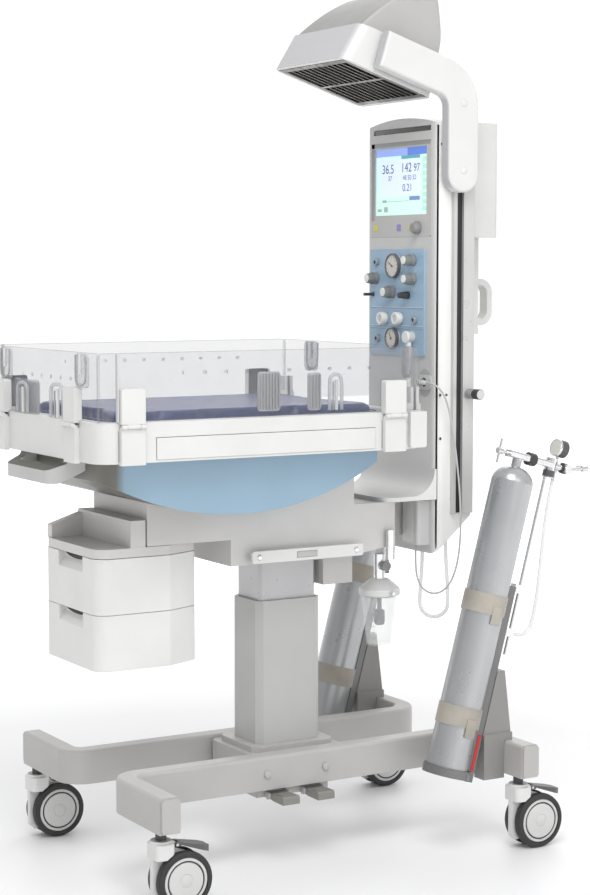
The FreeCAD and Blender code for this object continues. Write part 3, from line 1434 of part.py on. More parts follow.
def skirt_block(inset, low, high):
    """The skirt's tapered block, in the hood's own frame."""
    slope = HOOD_FRONT_SLOPE / HOOD_H
    block = prism_x(
        [
            (inset + slope * low, low),
            (HOOD_LEN - inset, low),
            (HOOD_LEN - inset, high),
            (inset + slope * high, high),
        ],
        -HOOD_X + inset,
        HOOD_X - inset,
    )
    return block


def arm_band():
    """The side arm: up the console's side, over a bend and along the skirt."""
    half = ARM_W / 2.0
    slant = math.radians(HOOD_LEAN)
    fwd = V(0, -math.cos(slant), math.sin(slant))
    up = V(0, math.sin(slant), math.cos(slant))
    low = V(ARM_X0, ARM_Y, ARM_LOW_Z + half)
    skirt_mid = V(ARM_X0, HOOD_Y, HOOD_Z) + up * ARM_RISE - fwd * ARM_REACH
    run = (skirt_mid.y - ARM_Y) / fwd.y
    corner_z = skirt_mid.z - run * fwd.z
    corner = V(ARM_X0, ARM_Y, corner_z)
    turn = math.pi / 2.0 - slant
    bend_r = half + 30.0
    back = bend_r * math.tan(turn / 2.0)
    p1 = corner - Z_AXIS * back
    p2 = corner + fwd * back
    centre = p1 - Y_AXIS * bend_r
    width = ARM_X1 - ARM_X0
    upright = box(ARM_X0, ARM_X1, ARM_Y - half, ARM_Y + half, low.z, p1.z)
    foot = rod(low, X_AXIS, half, width)
    ring = rod(centre, X_AXIS, bend_r + half, width).cut(rod(centre, X_AXIS, bend_r - half, width))
    big = 3.0 * bend_r
    sector = prism(
        [centre, centre + Y_AXIS * big, centre + Y_AXIS * big + Z_AXIS * big, centre + up * big],
        X_AXIS,
        width,
    )
    ring = ring.common(sector)
    along = prism(
        [
            p2 + up * half, p2 - up * half,
            skirt_mid - up * half, skirt_mid + up * half,
        ],
        X_AXIS,
        width,
    )
    band = fuse([upright, foot, ring, along])
    outer = [e for e in band.Edges if e.BoundBox.XMin > ARM_X1 - 0.01]
    return band.makeFillet(ARM_EDGE_R, outer), p2, up, half


def hood_housing():
    """The skirt with the side arm, one moulding."""
    skirt = skirt_block(0, 0, HOOD_H)
    skirt = rounded(skirt, Z_AXIS, HOOD_CORNER_R, lambda p: p.y > HOOD_LEN - 1.0)
    slanted = [
        e for e in skirt.Edges
        if e.Curve.TypeId == "Part::GeomLine" and e.CenterOfMass.y < HOOD_FRONT_SLOPE
        and abs(e.CenterOfMass.x) > HOOD_X - 1.0
    ]
    skirt = skirt.makeFillet(HOOD_CORNER_R, slanted)
    room = skirt_block(HOOD_WALL, -1.0, HOOD_H - HOOD_WALL / 2.0)
    skirt = lean(skirt.cut(room))
    arm, bend_end, up, half = arm_band()
    slant = math.radians(HOOD_LEAN)
    fwd = V(0, -math.cos(slant), math.sin(slant))
    inner_x = HOOD_X - HOOD_WALL
    root = prism(
        [
            V(inner_x, bend_end.y, bend_end.z) + up * (half - 6.0) - fwd * 40.0,
            V(inner_x, bend_end.y, bend_end.z) - up * (half - 6.0) - fwd * 10.0,
            V(inner_x, bend_end.y, bend_end.z) - up * (half - 6.0) + fwd * 60.0,
            V(inner_x, bend_end.y, bend_end.z) + up * (half - 6.0) + fwd * 60.0,
        ],
        X_AXIS,
        ARM_X0 + 2.0 - inner_x,
    )
    return fuse([skirt, arm, root])


def hood_grille():
    """The wire guard under the heater: a frame, long bars and one cross bar."""
    clear = HOOD_WALL + TOUCH
    x = HOOD_X - clear
    u0 = clear + HOOD_FRONT_SLOPE / HOOD_H * GRILLE_T
    u1 = HOOD_LEN - clear
    frame = box(-x, x, u0, u1, 0, GRILLE_T)
    window = box(
        -x + GRILLE_FRAME, x - GRILLE_FRAME, u0 + GRILLE_FRAME, u1 - GRILLE_FRAME, -1.0, GRILLE_T + 1.0,
    )
    pieces = [frame.cut(window)]
    pitch = 2.0 * (x - GRILLE_FRAME) / (GRILLE_BARS + 1)
    for i in range(GRILLE_BARS):
        bar_x = -x + GRILLE_FRAME + pitch * (i + 1)
        pieces.append(box(
            bar_x - GRILLE_BAR_T / 2.0, bar_x + GRILLE_BAR_T / 2.0,
            u0 + GRILLE_FRAME - 1.0, u1 - GRILLE_FRAME + 1.0, 0, GRILLE_T - 2.0,
        ))
    mid = (u0 + u1) / 2.0
    pieces.append(box(-x + GRILLE_FRAME - 1.0, x - GRILLE_FRAME + 1.0, mid - 4.0, mid + 4.0, 0, GRILLE_T))
    return lean(fuse(pieces))


def heater_unit():
    """The folded reflector and the heater tubes under it."""
    high = HOOD_H - HOOD_WALL / 2.0
    outline = [
        (REFLECTOR_U0, GRILLE_T),
        (REFLECTOR_U0 + 24.0, high),
        (REFLECTOR_U1 - 24.0, high),
        (REFLECTOR_U1, GRILLE_T),
    ]
    inner = [
        (REFLECTOR_U0 + REFLECTOR_T, GRILLE_T - 1.0),
        (REFLECTOR_U0 + 24.0 + REFLECTOR_T, high - REFLECTOR_T),
        (REFLECTOR_U1 - 24.0 - REFLECTOR_T, high - REFLECTOR_T),
        (REFLECTOR_U1 - REFLECTOR_T, GRILLE_T - 1.0),
    ]
    trough = prism_x(outline, -REFLECTOR_X, REFLECTOR_X)
    trough = trough.cut(prism_x(inner, -REFLECTOR_X + REFLECTOR_T, REFLECTOR_X - REFLECTOR_T))
    tubes = [
        rod(V(-REFLECTOR_X + REFLECTOR_T, u, HEATER_N), X_AXIS, HEATER_R, 2.0 * (REFLECTOR_X - REFLECTOR_T))
        for u in HEATER_U
    ]
    return [lean(s) for s in [trough] + tubes]


def dome_face(inset):
    """The dome's side view: a rising front, a rounded crown, an upright back."""
    slant = math.radians(HOOD_LEAN)
    up = V(0, math.sin(slant), math.cos(slant))
    along = V(0, math.cos(slant), -math.sin(slant))
    origin = V(-DOME_X + inset, HOOD_Y, HOOD_Z) + up * HOOD_H
    front = origin + along * (HOOD_FRONT_SLOPE + 6.0 + inset)
    back = origin + along * (HOOD_LEN - 6.0 - inset)
    curve = Part.BSplineCurve()
    curve.interpolate([front] + [
        V(-DOME_X + inset, y + inset * toward_y, z + inset * toward_z)
        for y, z, toward_y, toward_z in DOME_CURVE
    ] + [back])
    edges = [curve.toShape(), Part.LineSegment(back, front).toShape()]
    return Part.Face(Part.Wire(edges))


def hood_dome():
    """The hollow dome over the skirt."""
    outer = dome_face(0).extrude(V(2.0 * DOME_X, 0, 0))
    rims = [
        e for e in outer.Edges
        if e.Curve.TypeId == "Part::GeomBSplineCurve" and abs(e.BoundBox.XMin - e.BoundBox.XMax) < 0.01
    ]
    outer = outer.makeFillet(DOME_EDGE_R, rims)
    inner = dome_face(DOME_WALL).extrude(V(2.0 * (DOME_X - DOME_WALL), 0, 0))
    return outer.cut(inner)


# Gas cylinders, in a frame whose Z runs up the cylinder and whose -Y faces the foot end

def stand_up(shape):
    """Lean a shape made upright at the origin and set it on the near rear leg."""
    placed = shape.copy()
    placed.rotate(V(0, 0, 0), X_AXIS, -GAS_CYL_LEAN)
    placed.translate(V(GAS_CYL_X, GAS_CYL_Y, GAS_CYL_Z))
    return placed


RACK_Y0 = GAS_CYL_R + STRAP_T + TOUCH
RACK_Y1 = RACK_Y0 + RACK_DEPTH


def gas_cylinder():
    """The cylinder with its rounded foot, shoulder and neck."""
    r = GAS_CYL_R
    foot = 10.0
    top = GAS_CYL_LEN
    points = [V(0, 0, 0), V(r - foot, 0, 0)]
    corner = V(r - foot * (1 - math.sin(math.radians(45))), 0, foot * (1 - math.cos(math.radians(45))))
    shoulder_mid = V(r * 0.78, 0, top + GAS_SHOULDER * 0.62)
    shoulder_end = V(GAS_NECK_R, 0, top + GAS_SHOULDER)
    edges = [
        Part.LineSegment(points[0], points[1]).toShape(),
        Part.Arc(points[1], corner, V(r, 0, foot)).toShape(),
        Part.LineSegment(V(r, 0, foot), V(r, 0, top)).toShape(),
        Part.Arc(V(r, 0, top), shoulder_mid, shoulder_end).toShape(),
        Part.LineSegment(shoulder_end, V(GAS_NECK_R, 0, GAS_NECK_TOP)).toShape(),
        Part.LineSegment(V(GAS_NECK_R, 0, GAS_NECK_TOP), V(0, 0, GAS_NECK_TOP)).toShape(),
        Part.LineSegment(V(0, 0, GAS_NECK_TOP), V(0, 0, 0)).toShape(),
    ]
    return Part.Face(Part.Wire(edges)).revolve(V(0, 0, 0), Z_AXIS, 360)


def cylinder_rack():
    """The back channel and the foot plate."""
    half = RACK_W / 2.0
    back = box(-half, half, RACK_Y0, RACK_Y1, RACK_LOW - FOOT_T, RACK_TOP)
    groove = box(-half + 5.0, half - 5.0, RACK_Y1 - 6.0, RACK_Y1 + 1.0, RACK_LOW, RACK_TOP + 1.0)
    outer = GAS_CYL_R + 6.0
    plate = rod(V(0, 0, -TOUCH - FOOT_T), Z_AXIS, outer, FOOT_T)
    tongue = box(-half, half, 0, RACK_Y1, -TOUCH - FOOT_T, -TOUCH)
    lip = tube(V(0, 0, -TOUCH - 1.0), Z_AXIS, outer, outer - 3.0, FOOT_LIP)
    return fuse([back.cut(groove), plate, tongue, lip])


def cylinder_straps():
    """Two bands round the cylinder, closed at the rack."""
    bands = []
    for z in STRAP_AT:
        band = tube(V(0, 0, z), Z_AXIS, GAS_CYL_R + STRAP_T, GAS_CYL_R + TOUCH / 6.0, STRAP_H)
        bands.append(band)
    return bands


def cylinder_regulator():
    """The yoke on the valve, the regulator, its gauge and its outlet pipes."""
    z0 = YOKE_AT - YOKE_T / 2.0
    z1 = YOKE_AT + YOKE_T / 2.0
    post = rod(V(0, 0, GAS_NECK_TOP), Z_AXIS, GAS_NECK_R, z0 - GAS_NECK_TOP + 2.0)
    bar = box(-YOKE_W / 2.0, YOKE_W / 2.0, YOKE_Y0, REG_Y, z0, z1)
    bar = rounded(bar, Y_AXIS, 4.0)
    neck = rod(V(0, REG_Y - 2.0, YOKE_AT), Y_AXIS, 7.0, YOKE_Y1 - REG_Y + 2.0)
    body = rod(V(0, REG_Y, YOKE_AT - REG_LEN * 0.66), Z_AXIS, REG_R, REG_LEN)
    stalk = rod(V(0, GAUGE_DRUM_Y, YOKE_AT), Z_AXIS, 4.0, GAUGE_DRUM_Z - GAUGE_DRUM_R + 4.0)
    drum = rod(
        V(0, GAUGE_DRUM_Y - GAUGE_DRUM_T / 2.0, YOKE_AT + GAUGE_DRUM_Z), Y_AXIS, GAUGE_DRUM_R, GAUGE_DRUM_T,
    )
    outlet = rod(V(0, REG_OUT_Y, REG_OUT_Z), Z_AXIS, REG_OUT_R, YOKE_AT - REG_OUT_Z)
    screw_hole = rod(V(0, YOKE_Y0 - 1.0, YOKE_AT), Y_AXIS, 4.0 + RUNNING, 22.0)
    return fuse([post, bar, neck, body, stalk, drum, outlet]).cut(screw_hole)


def yoke_handle():
    """The clamp screw with its T-bar."""
    screw = rod(V(0, THANDLE_Y, YOKE_AT), Y_AXIS, 4.0, YOKE_Y0 + 20.0 - THANDLE_Y)
    bar = rod(V(0, THANDLE_Y, YOKE_AT - THANDLE_LEN / 2.0), Z_AXIS, THANDLE_R, THANDLE_LEN)
    hub = rod(V(0, THANDLE_Y - 6.0, YOKE_AT), Y_AXIS, 7.0, 14.0)
    return fuse([screw, bar, hub])


def outlet_pipes():
    """Two level pipes that leave the regulator towards the rear, with end fittings."""
    pipes = []
    for x in (-8.0, 8.0):
        start = stand_up(Part.Vertex(V(x, YOKE_Y1, YOKE_AT))).Point
        pipe = rod(V(start.x, start.y - 3.0, start.z), Y_AXIS, PIPE_R, PIPE_Y1 - YOKE_Y1)
        end = rod(V(start.x, start.y + PIPE_Y1 - YOKE_Y1 - 18.0, start.z), Y_AXIS, PIPE_R + 3.0, 16.0)
        pipes += [pipe, end]
    block = box(-YOKE_W / 2.0 - 4.0, YOKE_W / 2.0 + 4.0, YOKE_Y1 - 16.0, YOKE_Y1, YOKE_AT - 9.0, YOKE_AT + 9.0)
    return fuse([stand_up(block)] + pipes)


def hose_rod():
    """The support rod from the regulator down to the rack, with its clamps."""
    top = YOKE_AT - REG_LEN * 0.66
    bar = rod(V(0, ROD_Y, ROD_LOW), Z_AXIS, ROD_R, top - ROD_LOW + 1.0)
    pieces = [bar]
    for z in CLAMP_AT:
        pieces.append(box(-9.0, 9.0, RACK_Y1, CLAMP_FACE_Y, z - CLAMP_H / 2.0, z + CLAMP_H / 2.0))
    return fuse(pieces)


def cylinder_stand():
    """The block on the rear arm's front with the fin that the rack leans on."""
    arm_front = ARM_REAR_Y - RAIL_W / 2.0
    slant = math.tan(math.radians(GAS_CYL_LEAN))
    cosine = math.cos(math.radians(GAS_CYL_LEAN))

    def rack_back(z):
        return GAS_CYL_Y + (z - GAS_CYL_Z) * slant + RACK_Y1 / cosine
    low = rack_back(STAND_TOP_Z)
    block = box(
        GAS_CYL_X - STAND_X / 2.0, GAS_CYL_X + STAND_X / 2.0, low, arm_front, STAND_LOW_Z, STAND_TOP_Z,
    )
    top_y = rack_back(FIN_TOP_Z)
    fin = prism_x(
        [
            (low, STAND_TOP_Z),
            (low + (arm_front - low) + 20.0, STAND_TOP_Z),
            (top_y + FIN_TOP_LEN, FIN_TOP_Z),
            (top_y, FIN_TOP_Z),
        ],
        GAS_CYL_X - FIN_W / 2.0,
        GAS_CYL_X + FIN_W / 2.0,
    )
    saddle = box(
        GAS_CYL_X - STAND_X / 2.0, GAS_CYL_X + STAND_X / 2.0, arm_front - 1.0, arm_front + 22.0,
        RAIL_TOP, STAND_TOP_Z,
    )
    return fuse([block, fin, saddle])


def make_cylinders():
    """Both cylinder sets; the far one mirrors the near one."""
    sets = {
        "cylinder_stands": [cylinder_stand()],
        "cylinder_racks": [stand_up(cylinder_rack())],
        "gas_cylinders": [stand_up(gas_cylinder())],
        "cylinder_straps": [stand_up(s) for s in cylinder_straps()],
        "cylinder_regulators": [stand_up(cylinder_regulator()), outlet_pipes()],
    }
    for name, solids in sets.items():
        extra = [stand_up(hose_rod())] if name == "cylinder_regulators" else []
        write(name, *(solids + [mirror_x(s) for s in solids] + extra))
    handle = stand_up(yoke_handle())
    write("yoke_handle_near", handle)
    write("yoke_handle_far", mirror_x(handle))


# Suction unit

def make_suction():
    """Lid with valve and bracket, and the jar under it."""
    centre = V(JAR_X, JAR_Y, 0)
    lid_low = rod(centre + Z_AXIS * JAR_Z1, Z_AXIS, LID_R, 14.0)
    cone = Part.makeCone(LID_R - 2.0, VALVE_R + 6.0, LID_Z1 - JAR_Z1 - 14.0, centre + Z_AXIS * (JAR_Z1 + 14.0), Z_AXIS)
    valve = rod(centre + Z_AXIS * (LID_Z1 - 1.0), Z_AXIS, VALVE_R, VALVE_Z1 - LID_Z1 + 1.0)
    bracket_top = REAR_BLOCK_Z0 + 20.0
    bracket = box(
        JAR_X - 24.0, JAR_X + 10.0, BEAM_Y1, JAR_Y + 20.0, LID_Z1 + 12.0, bracket_top + 20.0,
    )
    spout = rod(centre + V(LID_R - 6.0, 0, JAR_Z1 + 8.0), X_AXIS, 4.5, SPOUT_LEN)
    knob = rod(centre + V(VALVE_R - 3.0, 0, LID_Z1 + 32.0), X_AXIS, SUCTION_KNOB_R, SUCTION_KNOB_LEN + 6.0)
    filter_body = rod(V(BEAM_X + FILTER_R, JAR_Y - 14.0, FILTER_Z0), Z_AXIS, FILTER_R, FILTER_Z1 - FILTER_Z0)
    unit = fuse([lid_low, cone, valve, bracket, spout, knob])
    write("suction_unit", unit, filter_body)
    outer = Part.makeCone(JAR_LOW_R, JAR_TOP_R, JAR_Z1 - JAR_Z0, centre + Z_AXIS * JAR_Z0, Z_AXIS)
    inner = Part.makeCone(
        JAR_LOW_R - JAR_WALL, JAR_TOP_R - JAR_WALL, JAR_Z1 - JAR_Z0 - JAR_WALL,
        centre + Z_AXIS * (JAR_Z0 + JAR_WALL), Z_AXIS,
    )
    write("suction_jar", outer.cut(inner))


# Cords

PROBE_POINTS = [
    V(94, 327, SENSOR_Z0), V(94, 327, 640), V(98, 328, 604), V(114, 332, 580), V(140, 343, 569),
    V(160, 360, 577), V(169, 378, 602), V(172, 392, 645), V(172, 399, 700), V(172, 399, 760),
    V(172, 395, 820), V(172, 387, 880), V(173, 377, 940), V(174, 365, 995), V(171, 350, 1036),
    V(160, 337, 1053), V(148, PLUG_Y, OVAL_Z), V(OVAL_X + PLUG_LEN, PLUG_Y, OVAL_Z),
]
BREATHING_POINTS = [
    barb_end(*BARBS[0]), V(70, 362, 632), V(68, 360, 597), V(67, 358, 558), V(67, 358, 525),
    V(80, 372, 506), V(98, 392, 506), V(112, 406, 525), V(112, 406, 556), V(111, 405, 592),
    V(109, 403, 630), V(108, 402, 666), barb_end(*BARBS[1]),
]
REGULATOR_POINTS = [
    V(0, REG_OUT_Y, REG_OUT_Z), V(0, REG_OUT_Y, 662), V(0, 117, 608), V(0, 125, 548), V(0, 134, 490),
    V(0, 141, 440), V(0, 144, 398), V(0, 144, 362), V(0, 135, 344), V(0, 117, 334),
    V(0, CLAMP_FACE_Y, 334),
]


def cord(points, diameter):
    """A tube of straight runs joined by arcs that touch them."""
    edges = []
    here = points[0]
    radii = []
    for before, corner, after in zip(points, points[1:], points[2:]):
        back = before - corner
        ahead = after - corner
        shorter = min(back.Length, ahead.Length)
        turn = math.pi - back.getAngle(ahead)
        radius = 0.45 * shorter / math.tan(turn / 2.0)
        reach = 0.45 * shorter
        radii.append(radius)
        back.normalize()
        ahead.normalize()
        start = corner + back * reach
        end = corner + ahead * reach
        bisector = back + ahead
        bisector.normalize()
        centre = corner + bisector * math.hypot(radius, reach)
        middle = centre - bisector * radius
        edges.append(Part.LineSegment(here, start).toShape())
        edges.append(Part.Arc(start, middle, end).toShape())
        here = end
    edges.append(Part.LineSegment(here, points[-1]).toShape())
    path = Part.Wire(edges)
    first = points[1] - points[0]
    ring = Part.Wire(Part.makeCircle(diameter / 2.0, points[0], first))
    body = path.makePipeShell([ring], True, False)
    want = math.pi * (diameter / 2.0) ** 2 * path.Length
    print("cord length %.0f, volume %.4f of section times length, radii %s" % (
        path.Length, body.Volume / want, [round(r) for r in radii]))
    return body


def make_cords():
    """Probe cable, breathing hose and regulator hose."""
    write("probe_cable", cord(PROBE_POINTS, PROBE_D))
    write("breathing_hose", cord(BREATHING_POINTS, HOSE_D))
    hose = cord(REGULATOR_POINTS, HOSE_D)
    write("regulator_hose", stand_up(hose))


def make_console():
    """Console shell, tracks, fittings, rear box and hood."""
    write("console_shell", console_shell())
    write("console_tracks", track(1), track(-1))
    make_display()
    make_gas_panel()
    write("console_fittings", *console_fittings())
    write("rear_fittings", *rear_fittings())
    write("hood_housing", hood_housing())
    write("hood_grille", hood_grille())
    write("heater_unit", *heater_unit())
    write("hood_dome", hood_dome())


os.makedirs("parts", exist_ok=True)
make_casters()
make_base()
make_column()
make_carrier()
make_bassinet()
make_console()
make_cylinders()
make_suction()
make_cords()
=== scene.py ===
"""The looks of the infant radiant warmer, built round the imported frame."""
import enum
import logging
import math
from dataclasses import dataclass
from typing import Optional, Sequence

import bmesh
import bpy
from mathutils import Matrix, Vector


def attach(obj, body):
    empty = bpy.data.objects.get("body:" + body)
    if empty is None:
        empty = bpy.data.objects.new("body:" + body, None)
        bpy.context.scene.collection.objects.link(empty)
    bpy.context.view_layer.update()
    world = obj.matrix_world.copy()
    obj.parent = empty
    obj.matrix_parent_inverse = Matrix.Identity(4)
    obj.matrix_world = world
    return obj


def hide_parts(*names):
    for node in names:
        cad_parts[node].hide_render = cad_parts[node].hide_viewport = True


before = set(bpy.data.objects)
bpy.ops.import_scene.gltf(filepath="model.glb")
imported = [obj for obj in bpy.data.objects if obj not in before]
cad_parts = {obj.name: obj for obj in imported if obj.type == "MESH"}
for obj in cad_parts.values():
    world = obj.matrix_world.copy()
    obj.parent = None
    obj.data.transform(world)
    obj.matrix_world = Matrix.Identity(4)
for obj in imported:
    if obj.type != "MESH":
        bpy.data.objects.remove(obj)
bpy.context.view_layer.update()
LOG = logging.getLogger("warmer")

Point = tuple[float, float, float]
Colour = tuple[float, float, float]
TO_FOOT = (0.0, -1.0, 0.0)
TO_NEAR = (1.0, 0.0, 0.0)
UPWARDS = (0.0, 0.0, 1.0)
QUARTER_TURN = math.pi / 2.0
PHOTO_HEIGHT = 895


# Finishes

class Sketch:
    """A node tree that is being drawn for one material."""

    def __init__(self, name: str) -> None:
        """Start a material that has only its shader.

        Args:
            name: The material's name.
        """
        self.material = bpy.data.materials.new(name)
        self.material.use_nodes = True
        self.tree = self.material.node_tree
        self.shader = self.tree.nodes["Principled BSDF"]

    def add(self, kind: str, **values: object) -> bpy.types.Node:
        """Add a node.

        Args:
            kind: The node's type name.
            values: Settings by attribute name, or socket values by input name.

        Returns:
            The new node.
        """
        node = self.tree.nodes.new(kind)
        for key, value in values.items():
            if hasattr(node, key):
                setattr(node, key, value)
            else:
                node.inputs[key.replace("_", " ")].default_value = value
        return node

    def link(self, source: bpy.types.NodeSocket, target: bpy.types.NodeSocket) -> None:
        """Join two sockets."""
        self.tree.links.new(source, target)

    def place(self) -> bpy.types.NodeSocket:
        """Give the point in the object's own metres."""
        return self.add("ShaderNodeTexCoord").outputs["Object"]

    def stretched(self, scale: Point) -> bpy.types.NodeSocket:
        """Give the point with each direction scaled.

        Args:
            scale: The factor of each direction.

        Returns:
            The scaled point.
        """
        mapping = self.add("ShaderNodeMapping")
        mapping.inputs["Scale"].default_value = scale
        self.link(self.place(), mapping.inputs["Vector"])
        return mapping.outputs["Vector"]

    def noise(
        self, scale: float, detail: float, vector: Optional[bpy.types.NodeSocket] = None,
    ) -> bpy.types.NodeSocket:
        """Add a noise pattern.

        Args:
            scale: Waves per metre.
            detail: How many finer layers it has.
            vector: Where it is read, or None for the object's metres.

        Returns:
            The pattern, from 0 to 1.
        """
        node = self.add("ShaderNodeTexNoise", Scale=scale, Detail=detail)
        self.link(vector or self.place(), node.inputs["Vector"])
        return node.outputs["Fac"]

    def ranged(
        self, value: bpy.types.NodeSocket, low: float, high: float, start: float = 0.3, end: float = 0.7,
    ) -> bpy.types.NodeSocket:
        """Map a pattern's middle part to a new range.

        Args:
            value: The pattern.
            low: The result at the start.
            high: The result at the end.
            start: Where the range starts.
            end: Where the range ends.

        Returns:
            The new value.
        """
        node = self.add("ShaderNodeMapRange")
        node.inputs["From Min"].default_value = start
        node.inputs["From Max"].default_value = end
        node.inputs["To Min"].default_value = low
        node.inputs["To Max"].default_value = high
        self.link(value, node.inputs["Value"])
        return node.outputs["Result"]

    def blend(self, factor: bpy.types.NodeSocket, first: object, second: object) -> bpy.types.NodeSocket:
        """Mix two colours.

        Args:
            factor: How much of the second.
            first: A colour or a socket.
            second: A colour or a socket.

        Returns:
            The mixed colour.
        """
        node = self.add("ShaderNodeMix", data_type="RGBA")
        self.link(factor, node.inputs[0])
        for value, socket in ((first, node.inputs[6]), (second, node.inputs[7])):
            if isinstance(value, bpy.types.NodeSocket):
                self.link(value, socket)
            else:
                socket.default_value = (*value, 1.0)
        return node.outputs[2]

    def math(self, operation: str, first: object, second: object) -> bpy.types.NodeSocket:
        """Work out one sum of two values or sockets.

        Args:
            operation: The sum's name.
            first: A value or a socket.
            second: A value or a socket.

        Returns:
            The result.
        """
        node = self.add("ShaderNodeMath", operation=operation)
        for value, socket in ((first, node.inputs[0]), (second, node.inputs[1])):
            if isinstance(value, bpy.types.NodeSocket):
                self.link(value, socket)
            else:
                socket.default_value = value
        return node.outputs[0]

    def beyond(self, axis: str, start: float, end: float) -> bpy.types.NodeSocket:
        """Tell how far a point lies beyond a place on one axis.

        Args:
            axis: X, Y or Z of the object's own metres.
            start: Where the share is 0.
            end: Where the share is 1.

        Returns:
            The share, from 0 to 1.
        """
        parts = self.add("ShaderNodeSeparateXYZ")
        self.link(self.place(), parts.inputs[0])
        return self.ranged(parts.outputs[axis], 0.0, 1.0, start, end)

    def edges(self, radius: float) -> tuple[bpy.types.NodeSocket, bpy.types.NodeSocket]:
        """Round the edges and find them.

        Args:
            radius: The rounding in metres.

        Returns:
            The rounded normal, and a mask that is 1 on edges.
        """
        bevel = self.add("ShaderNodeBevel", samples=4, Radius=radius)
        flat = self.add("ShaderNodeNewGeometry").outputs["Normal"]
        dot = self.add("ShaderNodeVectorMath", operation="DOT_PRODUCT")
        self.link(bevel.outputs["Normal"], dot.inputs[0])
        self.link(flat, dot.inputs[1])
        mask = self.ranged(dot.outputs["Value"], 1.0, 0.0, 0.72, 0.98)
        return bevel.outputs["Normal"], mask

    def bumps(
        self, height: bpy.types.NodeSocket, distance: float,
        normal: Optional[bpy.types.NodeSocket] = None,
    ) -> None:
        """Raise the surface by a pattern.

        Args:
            height: The pattern.
            distance: Its depth in metres.
            normal: The normal that it is raised from.
        """
        node = self.add("ShaderNodeBump", Strength=0.6, Distance=distance)
        self.link(height, node.inputs["Height"])
        if normal is not None:
            self.link(normal, node.inputs["Normal"])
        self.link(node.outputs["Normal"], self.shader.inputs["Normal"])


@dataclass(frozen=True)
class Coat:
    """Paint or moulded plastic with fine grain, soft edges and light handling marks, and, where a way is
    given, painted shade: a darker second colour on faces that turn that way.
    """

    name: str
    colour: Colour
    roughness: float = 0.4
    grain: float = 900.0
    depth: float = 0.00012
    edge: float = 0.0014
    wear: float = 0.25
    metallic: float = 0.0
    coat: float = 0.0
    # A second colour: a second paint beyond a split, or painted shade on faces that turn a given way.
    second: Optional[Colour] = None
    split: Optional[tuple[str, float, float]] = None
    # The way, start and end of the painted shade by facing.
    tilt: Optional[tuple[Point, float, float]] = None

    def material(self) -> bpy.types.Material:
        """Draw the coat.

        Returns:
            The material.
        """
        sketch = Sketch(self.name)
        shader = sketch.shader
        base = self.colour
        dark = tuple(c * 0.955 for c in base)
        light = tuple(min(1.0, c * 1.02 + 0.004) for c in base)
        tone = sketch.blend(sketch.ranged(sketch.noise(7.0, 3.0), 0.0, 1.0), dark, light)
        if self.second is not None and self.split is not None:
            tone = sketch.blend(sketch.beyond(*self.split), tone, self.second)
        # Painted shade: faces that turn towards the given way take the second, darker colour.
        if self.second is not None and self.tilt is not None:
            way, start, end = self.tilt
            facing = sketch.add("ShaderNodeVectorMath", operation="DOT_PRODUCT")
            sketch.link(sketch.add("ShaderNodeNewGeometry").outputs["Normal"], facing.inputs[0])
            facing.inputs[1].default_value = way
            side = sketch.ranged(facing.outputs["Value"], 0.0, 1.0, start, end)
            tone = sketch.blend(side, tone, self.second)
        normal, mask = sketch.edges(self.edge)
        rub = sketch.math("MULTIPLY", mask, sketch.ranged(sketch.noise(60.0, 4.0), 0.1, self.wear))
        paler = tuple(min(1.0, c * 0.6 + 0.4) for c in base)
        tone = sketch.blend(rub, tone, paler)
        sketch.link(tone, shader.inputs["Base Color"])
        worn = sketch.ranged(sketch.noise(18.0, 5.0), self.roughness * 0.88, min(1.0, self.roughness * 1.14))
        sketch.link(worn, shader.inputs["Roughness"])
        sketch.bumps(sketch.noise(self.grain, 2.0), self.depth, normal)
        shader.inputs["Metallic"].default_value = self.metallic
        shader.inputs["Coat Weight"].default_value = self.coat
        shader.inputs["Coat Roughness"].default_value = 0.12
        return sketch.material


@dataclass(frozen=True)
class Bright:
    """Bare or plated metal, with drawn lines when it is brushed."""

    name: str
    colour: Colour
    roughness: float = 0.14
    along: Point = (1.0, 1.0, 1.0)
    line_depth: float = 0.0

    def material(self) -> bpy.types.Material:
        """Draw the metal.

        Returns:
            The material.
        """
        sketch = Sketch(self.name)
        shader = sketch.shader
        lines = sketch.noise(260.0, 3.0, sketch.stretched(self.along))
        smear = sketch.noise(35.0, 4.0)
        dark = tuple(c * 0.86 for c in self.colour)
        sketch.link(
            sketch.blend(sketch.ranged(lines, 0.0, 1.0), dark, self.colour), shader.inputs["Base Color"],
        )
        sketch.link(
            sketch.ranged(smear, self.roughness * 0.7, self.roughness * 1.5), shader.inputs["Roughness"],
        )
        shader.inputs["Metallic"].default_value = 1.0
        normal, _ = sketch.edges(0.0008)
        sketch.bumps(lines, max(self.line_depth, 0.00001), normal)
        return sketch.material


